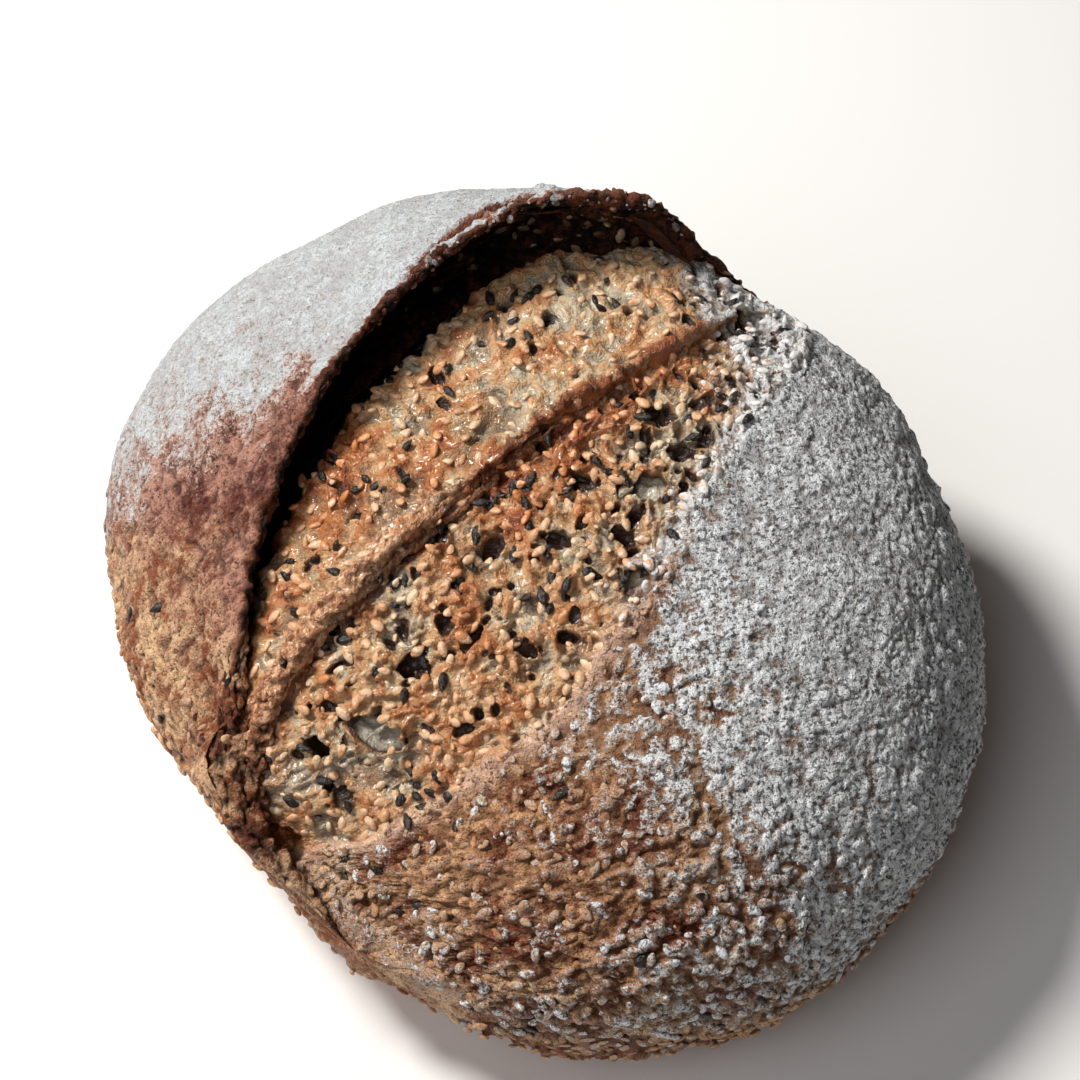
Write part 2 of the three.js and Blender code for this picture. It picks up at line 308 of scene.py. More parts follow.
def hills(points, size, layer=0):
    """Smooth random heights from -1 to 1, with hills about size apart."""
    spot = points @ SKEW / size + 211.3 * (layer + 1)
    cell = np.floor(spot).astype(np.int64)
    part = spot - cell
    part = part * part * (3 - 2 * part)
    total = np.zeros(len(points))
    for corner in np.ndindex(2, 2, 2):
        share = np.prod(np.where(np.array(corner), part, 1 - part), axis=1)
        i, j, k = (cell + corner).T
        mixed = (i * 73856093) ^ (j * 19349663) ^ (k * 83492791)
        mixed = (mixed ^ (mixed >> 13)) * 1274126177
        total += share * (((mixed >> 16) & 0xFFFF) / 32767.5 - 1)
    return total


def lumps(points, size, layer=0):
    """Rounded lumps with sharp creases between them, from 0 to 1."""
    return np.abs(hills(points, size, layer)) ** 0.8


def ridged(points, size, layer=0):
    """Sharp-backed ridges with hollows between them, from 0 to 1."""
    return np.clip(1 - 2.1 * np.abs(hills(points, size, layer)), 0, 1)


def stirred(points, size, amount, layer):
    """The points, each moved a little, so that a pattern read there is drawn out and bent."""
    return points + amount * np.stack([hills(points, size, layer + k) for k in range(3)], 1)


def heaped(points, *sizes):
    """Relief of several sizes, each given as its height, its pattern, the pattern's size and its layer."""
    return sum(height * pattern(points, size, layer) for height, pattern, size, layer in sizes)


def skirt(points, spots, reach):
    """1 at the spots, falling to 0 about reach away from the nearest."""
    tree = KDTree(len(spots))
    for n, spot in enumerate(spots):
        tree.insert(spot, n)
    tree.balance()
    away = np.array([tree.find(p)[2] for p in points])
    return np.exp(-((away / reach) ** 2))


def outward(p):
    """From the loaf's middle out through each point."""
    way = p - CORE
    return way / np.linalg.norm(way, axis=1)[:, None]


def heel_fold(p):
    """Where the burst ends at the heel the crust is torn into lumps. Returns how far out they stand, how
    dark the shade painted in the crevices between them is, and how near they are."""
    near = np.exp(-(np.linalg.norm((p - HEEL_FOLD) / [11, 8, 10], axis=1) ** 2))
    height = heaped(stirred(p, 5, 1.5, 150), (2.6, lumps, 4.4, 153))
    height += heaped(p, (1.3, lumps, 2.0, 154), (0.5, hills, 1.0, 155))
    return near * (height - 1.3), near * (1 - ramp(height, 0.3, 1.5)), near


# -----------------------------------------------------------------------------------------------------------
# Making pieces
# -----------------------------------------------------------------------------------------------------------
def deselect():
    """Operators act on all that is selected."""
    for other in bpy.context.view_layer.objects:
        other.select_set(False)


def added(name, operator, **settings):
    """A new primitive, alone in the selection."""
    deselect()
    operator(**settings)
    piece = bpy.context.object
    piece.name = piece.data.name = name
    return piece


def corners_of(piece):
    """The places of a piece's corners, one row for each."""
    co = np.zeros(len(piece.data.vertices) * 3, np.float32)
    piece.data.vertices.foreach_get("co", co)
    return co.reshape(-1, 3).astype(float)


def move_corners(piece, co):
    """Puts a piece's corners at these places."""
    piece.data.vertices.foreach_set("co", np.ascontiguousarray(co, np.float32).ravel())
    piece.data.update()


def normals_of(piece):
    """The outward way at each of a piece's corners."""
    out = np.zeros(len(piece.data.vertices) * 3, np.float32)
    piece.data.vertex_normals.foreach_get("vector", out)
    return out.reshape(-1, 3).astype(float)


def areas_of(piece, count):
    """The area round each of the first corners of a piece."""
    mesh = piece.data
    area = np.zeros(len(mesh.polygons))
    total = np.zeros(len(mesh.polygons), int)
    mesh.polygons.foreach_get("area", area)
    mesh.polygons.foreach_get("loop_total", total)
    corner = np.zeros(len(mesh.loops), int)
    mesh.loops.foreach_get("vertex_index", corner)
    out = np.zeros(len(mesh.vertices))
    np.add.at(out, corner, np.repeat(np.where(total == 4, area, 0) / 4, total))
    return out[:count] / MM**2


def note(piece, name, values):
    """Keeps a number for each corner of the piece, for its material to read."""
    attribute = piece.data.attributes.new(name, "FLOAT", "POINT")
    attribute.data.foreach_set("value", np.asarray(values, np.float32))


def smooth(piece):
    """Shades a piece smooth, alone in the selection."""
    deselect()
    piece.select_set(True)
    bpy.context.view_layer.objects.active = piece
    bpy.ops.object.shade_smooth()


def joined(name, pieces):
    """The pieces as one, under a new name."""
    deselect()
    for piece in pieces:
        piece.select_set(True)
    bpy.context.view_layer.objects.active = pieces[0]
    bpy.ops.object.join()
    whole = bpy.context.object
    whole.name = whole.data.name = name
    smooth(whole)
    return whole


def fit_to_loaf(piece, material):
    """Gives a finished piece its material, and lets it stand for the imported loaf."""
    piece.data.materials.append(material)
    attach(piece, "root")
    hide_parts("loaf")


def stack(ys, sides, names):
    """The named strips of every section as points [x, y, z], with the strip's number and share of each."""
    rows, strip, share = [], None, None
    for y in ys:
        strips = section(y, sides)
        flat = np.concatenate([strips[n] for n in names])
        rows.append(np.column_stack([flat[:, 0], np.full(len(flat), y), np.maximum(flat[:, 1], 0)]))
        if strip is None:
            strip = np.concatenate([np.full(len(strips[n]), k) for k, n in enumerate(names)])
            share = np.concatenate([np.arange(len(strips[n])) / max(len(strips[n]), 1) for n in names])
    return np.array(rows), strip, share


def cuts_along(count):
    """Places along the slash, closer together towards both ends."""
    share = np.linspace(-1, 1, count + 2)[1:-1]
    share = 0.6 * share + 0.4 * np.sin(share * math.pi / 2)
    return (SHOULDER - HEEL) / 2 + share * (SHOULDER + HEEL) / 2


def surveyed(piece, form, strip, share, strips, k):
    """Moves a piece's corners to the form. Returns each one's place, outward way, area, strip and so on."""
    plain = risen(form)
    move_corners(piece, place(plain))
    return SimpleNamespace(
        plain=plain, form=form, cut=k, share=share, area=areas_of(piece, len(plain)),
        normal=normals_of(piece) @ np.array([ACROSS, ALONG, UP]).T,
        on=lambda *names: np.isin(strip, [strips.index(n) for n in names if n in strips]),
    )


def sheet_of(name, ys, sides, strips):
    """A grid bent to the named strips of the form, with what is known of each of its corners."""
    rows, strip, share = stack(ys, sides, strips)
    across = rows.shape[1]
    piece = added(name, bpy.ops.mesh.primitive_grid_add,
                  x_subdivisions=across - 1, y_subdivisions=len(ys) - 1, size=2)
    flat = corners_of(piece)
    i = np.rint((flat[:, 0] + 1) / 2 * (across - 1)).astype(int)
    k = np.rint((flat[:, 1] + 1) / 2 * (len(ys) - 1)).astype(int)
    return piece, surveyed(piece, rows[k, i], strip[i], share[i], strips, k)


def close_down(piece, drop):
    """The border is extruded down into the loaf and closed, so that the sheet is a solid slab."""
    deselect()
    piece.select_set(True)
    bpy.context.view_layer.objects.active = piece
    bpy.ops.object.mode_set(mode="EDIT")
    bpy.ops.mesh.select_mode(type="VERT")
    bpy.ops.mesh.select_all(action="DESELECT")
    bpy.ops.mesh.select_non_manifold()
    bpy.ops.mesh.extrude_region_move(TRANSFORM_OT_translate={"value": (0, 0, -drop * MM)})
    bpy.ops.mesh.edge_face_add()
    bpy.ops.object.mode_set(mode="OBJECT")
    smooth(piece)


def spread(weights, points, count, apart):
    """Up to count of the points, drawn by weight, each at least apart from the others."""
    tries = min(count * 14, np.count_nonzero(weights))
    order = rng.choice(len(points), tries, replace=False, p=weights / weights.sum())
    taken, grid = [], {}
    for n in order:
        p = points[n]
        cell = tuple(np.floor(p / apart).astype(int))
        close = (
            other
            for dx in (-1, 0, 1) for dy in (-1, 0, 1) for dz in (-1, 0, 1)
            for other in grid.get((cell[0] + dx, cell[1] + dy, cell[2] + dz), ())
        )
        if any(((p - points[other]) ** 2).sum() < apart**2 for other in close):
            continue
        grid.setdefault(cell, []).append(n)
        taken.append(n)
        if len(taken) == count:
            break
    return np.array(taken)


def strew(name, shape, spots, normals, lift, tilt, material, notes=None, sizes=(0.85, 1.15)):
    """Copies of a shape laid on the spots, each flat on the surface but for a random turn and tilt.
    sizes is the smallest and largest, or the size of each."""
    co, faces = shape
    n = len(spots)
    spin = rng.random(n) * 2 * math.pi
    helper = np.where(np.abs(normals[:, 2:3]) < 0.9, UP, ACROSS)
    side = np.cross(helper, normals)
    side /= np.linalg.norm(side, axis=1)[:, None]
    ahead = np.cross(normals, side)
    long_way = side * np.cos(spin)[:, None] + ahead * np.sin(spin)[:, None]
    lean = rng.normal(0, tilt, n)[:, None]
    long_way = long_way * np.cos(lean) + normals * np.sin(lean)
    out = normals + 0.5 * rng.normal(0, tilt, (n, 3))
    out -= long_way * (out * long_way).sum(1)[:, None]
    out /= np.linalg.norm(out, axis=1)[:, None]
    wide = np.cross(out, long_way)
    scale = (sizes if len(sizes) == n and n > 2 else rng.uniform(*sizes, n))[:, None, None]
    axes = [long_way, wide, out]
    turned = sum(co[None, :, k:k + 1] * axis[:, None] for k, axis in enumerate(axes)) * scale
    spot = spots + normals * np.broadcast_to(lift, n)[:, None]
    points = (turned + spot[:, None]).reshape(-1, 3)
    shift = np.arange(n) * len(co)
    all_faces = [tuple(c + s for c in face) for s in shift.tolist() for face in faces]
    mesh = bpy.data.meshes.new(name)
    mesh.from_pydata(place(points).tolist(), [], all_faces)
    piece = bpy.data.objects.new(name, mesh)
    bpy.context.scene.collection.objects.link(piece)
    note(piece, "tint", np.repeat(rng.random(n), len(co)))
    for key, values in (notes or {}).items():
        note(piece, key, np.repeat(values, len(co)))
    smooth(piece)
    fit_to_loaf(piece, material)


# -----------------------------------------------------------------------------------------------------------
# Flour, and where the crust is brown
# -----------------------------------------------------------------------------------------------------------
def flour_on_ear(p):
    """Flour lies thick on the ear above a slanting line, and thins out below it."""
    x, y = p[:, 0], p[:, 1]
    edge = -6 + 0.87 * np.minimum(x + 49, 0)
    soft = 6 + 0.6 * np.clip(-49 - x, 0, 40)
    streaks = hills(p * [1.0, 0.35, 1.0], 3.2, 18)
    thick = ramp(y - edge + 5 * hills(p, 9, 3) + 4 * hills(p, 3.5, 4) + 7 * streaks, -1.7 * soft, 1.3 * soft)
    return 0.12 + (0.72 + 0.1 * ramp(y, -10, 20)) * thick + 0.05 * hills(p, 6, 59)


def flour_on_dome(p):
    """On the dome it thickens from the heel towards the far side."""
    x, y = p[:, 0], p[:, 1]
    patches = heaped(p, (10, hills, 15, 5), (9, hills, 5, 6), (9, hills, 2.4, 13))
    thick = ramp(y + 0.35 * (x - 22) + patches, -66, 48)
    return 0.29 + 0.58 * thick**1.35 + 0.06 * ramp(-p[:, 2], -56, -34) * (1 - thick)


def flour_on_tear(p):
    """On the torn faces it lies only towards the shoulder."""
    x, y = p[:, 0], p[:, 1]
    return ramp(y + 0.8 * x + 7 * hills(p, 6, 7) + 5 * hills(p, 2.5, 8), 32, 66)


def keep_marks(piece, marks):
    """Notes every mark on the piece. Corners that were added when it was closed down get 0."""
    for name, values in marks.items():
        note(piece, name, np.append(values, np.zeros(len(piece.data.vertices) - len(values))))


def from_crust_edge(c):
    """How far each corner of the dome lies from the crust's torn edge, in mm, and 99 off the dome."""
    return np.where(c.on("edge"), 0, np.where(c.on("dome"), c.share * DOME_LENGTH, 99))


def skin_marks(piece, c, moved, spots, ear_side, inside, deep, burnt):
    """Keeps on the piece what its crust is like at each corner: floured, tan and so on, and where shade
    is painted dark inside the gap and in the crevices.
    """
    x, y, z = c.form.T
    lit = ramp(c.normal[:, 2], -0.35, 0.15)
    from_edge = from_crust_edge(c)
    rubbed = np.exp(-((from_edge / (2.2 + 1.2 * hills(c.plain, 4, 19))) ** 2)) * (1 - ramp(y, 5, 40))
    on_tops = flour_on_dome(c.plain) + 0.16 * (0.5 - deep)
    flour = np.where(ear_side, flour_on_ear(c.plain), on_tops * (1 - 0.45 * rubbed)) * lit
    flour = np.clip(np.where(inside > 0.5, 0, flour) * (1 - 0.8 * burnt), 0, 1)
    tan = ramp(-y - 0.3 * (z - 60) + 9 * hills(c.plain, 12, 15) + 6 * hills(c.plain, 4, 16), 28, 56)
    golden = ramp(-z + 6 * hills(c.plain, 6, 175), -54, -28) * ramp(-y, -25, 15)
    marks = {
        "flour": flour,
        "inside": inside,
        "ear_skin": ear_side * (1 - ramp(-y - 0.6 * (z - 30), 48, 62)),
        "edge_bake": rubbed,
        "tan": np.where(ear_side, tan, 0.85 * golden),
        "burnt": burnt,
        "deep": deep + np.zeros(len(x)),
    }
    keep_marks(piece, marks)
    return SimpleNamespace(form=moved, normal=c.normal, area=c.area, share=c.share, on=c.on, spots=spots,
                           marks=marks, low=ramp(-z, -60, -24))


# -----------------------------------------------------------------------------------------------------------
# The crust: one closed form, with the finer sheets of the ear and the dome over it
# -----------------------------------------------------------------------------------------------------------
SHEET_ENDS = (-66.6, 77.2)  # y of the finer sheets' ends
BASE_CUTS = 168
BASE_SIDES = dict(foot=10, tuck=22, ear=46, rim=8, wall=12, bed=8, edge=4, dome=50)
BASE_STRIPS = ["low_left", "ear", "rim", "wall", "bed", "edge", "dome", "low_right"]
EAR_CUTS = 335
EAR_SIDES = dict(skirt_left=18, ear=172, rim=26, wall=26)
EAR_STRIPS = ["skirt_left", "ear", "rim", "wall"]
DOME_CUTS = 345
DOME_SIDES = dict(edge=8, dome=225, skirt_right=22)
DOME_STRIPS = ["edge", "dome", "skirt_right"]
SPLIT = ([16, 23, 30, 37, 44, 50], [0.3, 1.6, 3.2, 4.2, 4.0, 3.0])  # y, and how far behind the rim it split
BASE_SEEDS, EAR_SEEDS, DOME_SEEDS = 390, 420, 1250


def tucked(c):
    """How near each corner of a sheet is to its border, where it dives under the crust below."""
    y = c.form[:, 1]
    away = np.minimum(y - SHEET_ENDS[0], SHEET_ENDS[1] - y)
    away = np.where(c.on("skirt_left"), np.minimum(away, 12 * c.share), away)
    away = np.where(c.on("skirt_right"), np.minimum(away, 12 * (1 - c.share)), away)
    return np.exp(-((away / 1.6) ** 2))


def make_base():
    """The whole crust as one closed form. Two finer sheets lie over its ear and its dome."""
    ys = cuts_along(BASE_CUTS)
    rows, strip, share = stack(ys, BASE_SIDES, BASE_STRIPS)
    around = rows.shape[1]
    piece = added("loaf_crust", bpy.ops.mesh.primitive_uv_sphere_add,
                  segments=around, ring_count=BASE_CUTS + 1, radius=0.08)
    ball = corners_of(piece)
    ring = np.rint(np.arccos(np.clip(ball[:, 2] / 0.08, -1, 1)) / math.pi * (BASE_CUTS + 1)).astype(int)
    place_in_ring = np.rint(np.arctan2(ball[:, 1], ball[:, 0]) / (2 * math.pi) * around).astype(int)
    j = (-place_in_ring) % around
    form = rows[np.clip(ring - 1, 0, BASE_CUTS - 1), j]
    form[ring == 0] = [TIP_HEEL, -HEEL, WIDEST]
    form[ring == BASE_CUTS + 1] = [TIP_SHOULDER, SHOULDER, WIDEST]
    c = surveyed(piece, form, strip[j], share[j], BASE_STRIPS, ring)
    y, z = form[:, 1], form[:, 2]
    bare_end = 1 - ramp(np.minimum(y - SHEET_ENDS[0], SHEET_ENDS[1] - y), -0.3, 1.5)
    seedy = c.on("low_left", "low_right") * ramp(z, 2, 6) * (z < 26)
    seedy = seedy + bare_end * (y < 0) * ramp(z, 2, 6) * (z < 42)
    spots = spread(c.area * seedy, c.plain, BASE_SEEDS, 2.1)
    out = 0.3 * hills(c.plain, 5.5, 2) + 0.45 * lumps(c.plain, 2.6, 3) - 0.35
    out += bare_end * (1.4 * lumps(c.plain, 3.0, 168) + 0.9 * lumps(c.plain, 1.5, 169) - 1.0)
    out += 0.35 * skirt(c.plain, c.plain[spots], 1.4) * c.on("low_left", "low_right")
    rim = np.array([line("rim", v) for v in np.clip(y, *SHEET_ENDS)])
    by_rim = ramp(-np.hypot(form[:, 0] - rim[:, 0], z - rim[:, 1]), -9, -5) * ramp(y, 40, 48)
    covered = ramp(np.minimum(y - SHEET_ENDS[0], SHEET_ENDS[1] - y), 0.5, 5) * (1 - c.on("bed"))
    covered = covered * np.where(c.on("low_left", "low_right"), ramp(z, 9, 17), 1)
    heel, _, near_heel = heel_fold(c.plain)
    moved = c.plain + c.normal * (out * ramp(c.plain[:, 2], 0.5, 8) - 1.7 * covered)[:, None]
    moved += outward(c.plain) * (heel - 0.5 * near_heel)[:, None]
    moved -= (2.2 * by_rim * covered)[:, None] * outward(c.plain)
    moved[:, 2] = np.where(c.plain[:, 2] <= 0, 0, np.maximum(moved[:, 2], 0))
    move_corners(piece, place(moved))
    smooth(piece)
    ear_side = c.on("low_left", "ear", "rim", "wall")
    middle = ramp(y, -60, -54) * (1 - ramp(y, 68, 74))
    # inside marks where shade is painted near black: on the rim, the gap's wall and floor, and on the crust
    # beneath the rim towards the shoulder.
    inside = np.maximum(c.on("rim", "wall", "bed") * middle, 0.9 * by_rim * middle)
    return piece, skin_marks(piece, c, moved, spots, ear_side, inside, 0, 0.3 * near_heel)


def ear_relief(c, floured, bed):
    """How far the ear's skin and its torn wall stand out, and the heights of the bare skin's bumps, of the
    grains under flour and of the torn dough."""
    p, on = c.plain, c.on
    bumps = 0.9 * lumps(stirred(p, 4, 1.2, 70), 3.4, 3) ** 0.7 + 0.7 * lumps(p, 1.7, 4) ** 0.7
    bumps += 0.35 * hills(p, 0.9, 5)
    grains = 0.4 * lumps(stirred(p, 3, 0.8, 76), 2.4, 6) ** 0.7
    grains += heaped(p, (0.3, lumps, 1.2, 16), (0.2, hills, 5, 8))
    skin = (bumps - 0.8) * (1 - floured) + (grains - 0.3) * floured + 0.35 * bed
    torn_dough = 1.4 * lumps(stirred(p, 3, 1, 167), 3.6, 7)
    torn_dough += heaped(p, (1.0, lumps, 1.9, 8), (0.6, lumps, 1.0, 18))
    out = 0.35 * hills(p, 13, 1) + on("skirt_left", "ear") * skin
    out += on("wall") * (torn_dough - 0.9) + on("rim") * (0.8 * torn_dough - 0.6)
    return out, bumps, grains, torn_dough


def split_rim(c, from_rim):
    """Near the shoulder the rim split in two: a groove runs behind it, and its far edge is a second lip."""
    p = c.plain
    y = c.form[:, 1]
    on_ear = c.on("ear")
    on_split = on_ear * ramp(y, 16, 23) * (1 - ramp(y, 44, 50))
    behind = np.interp(y, *SPLIT) + 0.4 * hills(p, 4, 157)
    groove = on_split * np.exp(-(((from_rim - behind) / 0.8) ** 2))
    pit = on_ear * np.exp(-(((y - 44) / 2.9) ** 2) - ((from_rim - 3.0) / 1.3) ** 2)
    far_lip = on_split * np.exp(-(((from_rim - behind - 1.5) / 0.9) ** 2))
    knob = on_ear * np.exp(-(((y - 49) / 2.4) ** 2) - ((from_rim - 3.6) / 2.2) ** 2)
    near_lip = on_split * (from_rim < behind)
    rough = 1.3 * lumps(p, 2.2, 158) + 0.9 * lumps(p, 1.2, 159)
    out = (far_lip + near_lip * 0.9 + knob) * (rough - 0.5) + 1.4 * knob - 2.6 * groove - 3.4 * pit
    torn = on_split * np.exp(-(((from_rim - behind - 0.7) / 0.6) ** 2))
    return SimpleNamespace(out=out, hollow=groove + pit, near_lip=near_lip, lips=near_lip + far_lip + knob,
                           rough=rough, torn=torn)


def make_ear():
    """The ear: the flap of crust that lifted as the loaf burst, with its ragged rim and its inner wall."""
    cuts = np.linspace(*SHEET_ENDS, EAR_CUTS)
    piece, c = sheet_of("ear_crust", cuts, EAR_SIDES, EAR_STRIPS)
    p, on, share = c.plain, c.on, c.share
    x, y, z = c.form.T
    near_end = ramp(np.minimum(y + HEEL, SHOULDER - y), 0, 4)
    low = ramp(-z, -60, -24)
    seedy = 0.14 * low * ramp(-y, 0, 40) + 0.5 * ramp(-z, -26, -16)
    seedy += 0.9 * ramp(-y, 38, 62) * ramp(-z, -52, -30)
    spots = spread(c.area * on("skirt_left", "ear") * seedy, p, EAR_SEEDS, 2.2)
    floured = ramp(flour_on_ear(p), 0.3, 0.75)
    out, bumps, grains, torn_dough = ear_relief(c, floured, skirt(p, p[spots], 1.25))
    out = (out - 0.15) * (0.3 + 0.7 * near_end) - 2.0 * tucked(c)
    rim = np.array([line("rim", v) for v in cuts])[c.cut]
    from_rim = np.hypot(x - rim[:, 0], z - rim[:, 1])
    split = split_rim(c, from_rim)
    moved = p + c.normal * (out + split.out)[:, None]
    heel, crevice_shade, near_heel = heel_fold(p)
    moved += outward(p) * (heel * ~on("wall"))[:, None]

    # The rim is thin and ragged.
    tuck = np.where(on("rim"), share, np.where(on("wall"), 1 - 0.75 * share, 0))
    moved -= (tuck * near_end * (1 - ramp(y, 44, 58)) * 2.6)[:, None] * np.array([1.0, 0, 0.25])
    near_rim = on("ear", "rim", "wall")
    ragged = np.where(near_rim, np.exp(-((from_rim / 2.2) ** 2)), 0) * near_end
    jag = heaped(p * [0, 1, 0], (1.0, hills, 9, 9), (1.0, hills, 3.1, 10))
    jag += 1.2 * hills(p * [0, 1, 0.3], 1.2, 11)
    moved += (ragged * jag)[:, None] * np.array([0.8, 0.0, 0.5])
    moved += (ragged * (0.9 * lumps(p, 1.2, 12) + 0.7 * hills(p, 2.9, 17) - 0.3))[:, None] * c.normal
    move_corners(piece, place(moved))
    close_down(piece, 1.5)

    # inside marks where shade is painted near black: the gap's wall, the inner side of the rim, the heel's
    # crevices, and the groove and pit of the split rim.
    inside = np.where(on("wall"), 1, np.where(on("rim"), np.clip(0.45 + 1.5 * share, 0, 1), 0))
    inside = inside * (1 - ramp(y, 70, 75)) * ramp(y, -64, -57)
    inside = np.maximum(inside, np.maximum(0.9 * crevice_shade * ~on("wall"), ramp(split.hollow, 0.35, 0.7)))
    edge = np.where(near_rim, np.exp(-((from_rim / (0.6 + 0.8 * lumps(p, 2.6, 20))) ** 2)), 0)
    patches = 0.8 * split.near_lip * ramp(hills(p, 2.2, 57), 0.1, 0.5)
    burnt = np.maximum(np.maximum(edge * (1 - 0.7 * split.near_lip), split.torn), patches)
    burnt = np.maximum(np.clip(burnt * near_end, 0, 0.95), 0.3 * near_heel)
    # deep sets how dark the painted shade in the crevices is: between the bumps or the floured grains,
    # between the torn lips, and in the torn dough of the rim and wall.
    deep = 1 - ramp(np.where(floured > 0.5, grains * 1.6, bumps), 0.25, 0.75)
    deep = np.where(split.lips > 0.3, 1 - ramp(split.rough, 0.2, 0.7), deep)
    deep = np.where(on("rim", "wall") & (y > -50), 1 - ramp(torn_dough, 0.5, 1.3), deep)
    return piece, skin_marks(piece, c, moved, spots, np.ones(len(p), bool), inside, deep, burnt)


def make_dome():
    """The dome: seeded crust towards the heel, under flour that cracked as it dried towards the far side."""
    piece, c = sheet_of("dome_crust", np.linspace(*SHEET_ENDS, DOME_CUTS), DOME_SIDES, DOME_STRIPS)
    p = c.plain
    x, y, z = c.form.T
    near_end = ramp(np.minimum(y + HEEL, SHOULDER - y), 0, 4)
    low = ramp(-z, -60, -24)
    heelward = ramp(-y + 0.35 * (30 - x), -30, 30)
    seedy = np.clip(0.9 * heelward * (0.5 + 0.5 * low) + 0.9 * low**1.5, 0, 1)
    spots = spread(c.area * seedy**1.3, p, DOME_SEEDS, 2.15)
    bed = skirt(p, p[spots], 1.3)
    floured = ramp(flour_on_dome(p), 0.35, 0.75)
    drawn = stirred(p, 5, 1.6, 71) * [1.0, 0.7, 1.0]
    clusters = 0.45 * lumps(drawn, 3.4, 20) + 0.5 * lumps(stirred(p, 2.5, 0.8, 74), 1.9, 21)
    clusters += 0.45 * lumps(p, 1.0, 22)
    cracks = ridged(stirred(p, 7, 2.5, 72) * [1.0, 0.7, 1.0], 6.5, 23) ** 12
    pebbles = 1.7 * lumps(stirred(p, 4, 1, 73), 3.2, 24) + 1.1 * lumps(p, 1.6, 25) + 0.45 * hills(p, 0.9, 26)
    pebbles -= 0.9 * ridged(stirred(p, 3, 1, 173), 2.4, 174) ** 4
    relief = floured * (clusters - 0.35 * cracks) + (1 - floured) * (pebbles - 0.15)
    out = 0.35 * hills(p, 13, 1) + 0.35 * hills(p, 5.5, 2) + relief - 0.85 + 0.5 * bed
    out *= 0.3 + 0.7 * near_end
    from_edge = from_crust_edge(c)
    brink = np.exp(-((from_edge / 1.3) ** 2)) * near_end
    out += 0.35 * brink - 2.0 * tucked(c)
    moved = p + c.normal * out[:, None]
    heel, crevice_shade, near_heel = heel_fold(p)
    moved += outward(p) * heel[:, None]
    jag = heaped(p * [0, 1, 0], (1.3, hills, 6, 27), (1.2, hills, 2.2, 28), (0.6, hills, 1.0, 29))
    moved += (brink * jag)[:, None] * np.array([1, 0, 0])
    move_corners(piece, place(moved))
    close_down(piece, 1.5)
    # deep sets how dark the painted shade in the crevices is: darker towards the bottom, lighter at the torn
    # edge.
    shallow, full = np.where(floured > 0.5, [[0.2], [0.7]], [[0.45], [1.2]])
    deep = 1 - ramp(relief + 0.5 * bed, shallow, full)
    deep = np.clip(0.85 * deep + 0.4 * ramp(-z, -36, -18), 0, 1) * (1 - 0.7 * brink)
    return piece, skin_marks(piece, c, moved, spots, np.zeros(len(p), bool), 0.9 * crevice_shade, deep, near_heel)


# -----------------------------------------------------------------------------------------------------------
# The torn crumb: both faces of the burst, with the ridge between them
# -----------------------------------------------------------------------------------------------------------
CRUMB_CUTS = 405
CRUMB_SIDES = dict(face_a=112, lip=10, face_b=104, hem=10)
CRUMB_STRIPS = ["face_a", "lip", "face_b", "hem"]
CRUMB_ENDS = (-66.6, 77.0)
# The air holes that stand out: y, x, half width and length, depth, turn in degrees, and 1 if a film is left
AIR_HOLES = [
    (20.4, 8.2, 2.6, 4.6, 4.2, 60, 1),
    (5.6, 17.6, 2.0, 2.2, 3.0, 0, 1),
    (9.5, 10.6, 1.6, 1.9, 2.6, 0, 0),
    (1.5, 1.5, 1.9, 3.0, 3.4, 20, 0),
    (-6.5, -7.0, 2.2, 3.4, 3.8, 70, 0),
    (33.0, 0.5, 2.2, 3.4, 3.4, 10, 0),
    (-43.0, -4.0, 3.2, 6.6, 2.4, 10, 1),
    (-33.0, 8.6, 1.4, 2.2, 1.8, 60, 0),
    (-30.0, -4.5, 1.8, 3.0, 3.4, 10, 0),
    (-22.0, -5.0, 1.6, 2.2, 3.0, 0, 0),
    (-16.0, 10.0, 1.6, 2.1, 2.4, 0, 0),
    (13.0, -2.0, 1.5, 2.6, 3.2, 60, 0),
    (29.5, 8.5, 1.8, 2.6, 2.8, 40, 0),
    (40.0, 4.0, 1.5, 2.2, 2.4, 70, 0),
    (-53.0, -3.0, 1.3, 2.0, 2.6, 30, 0),
    (-50.0, -12.0, 1.2, 2.4, 3.0, 0, 0),
]
SMALL_HOLES = 230
CRUMB_SEEDS = 640
DRAWN_OUT = 0.14  # the ridge's fibres run along the slash, about seven times as long as they are wide
# y, and how far past the rim the face lies in the gap's shade, where it is painted near black
GAP_SHADE = ([-60, -40, -9, 10, 25, 42, 60], [-2.0, 0.3, 3.0, 4.0, 2.0, 0.0, -2.0])
LAYER_THICKNESS = 0.45
LAYER_ROUGHNESS = 0.35
# The thin layers at the ridge: y from and to, mm past the ridge, mm below it, width, slope in degrees
LAYERS = [
    (-50, -34, 0.2, 0.5, 1.8, -28),
    (-46, -12, 1.4, 1.9, 1.8, -30),
    (-38, -4, 0.1, 0.7, 1.5, -40),
    (-26, 8, 2.0, 2.6, 1.7, -22),
    (-14, 14, 0.2, 0.8, 1.4, -42),
    (-2, 20, 1.6, 2.2, 1.4, -25),
]
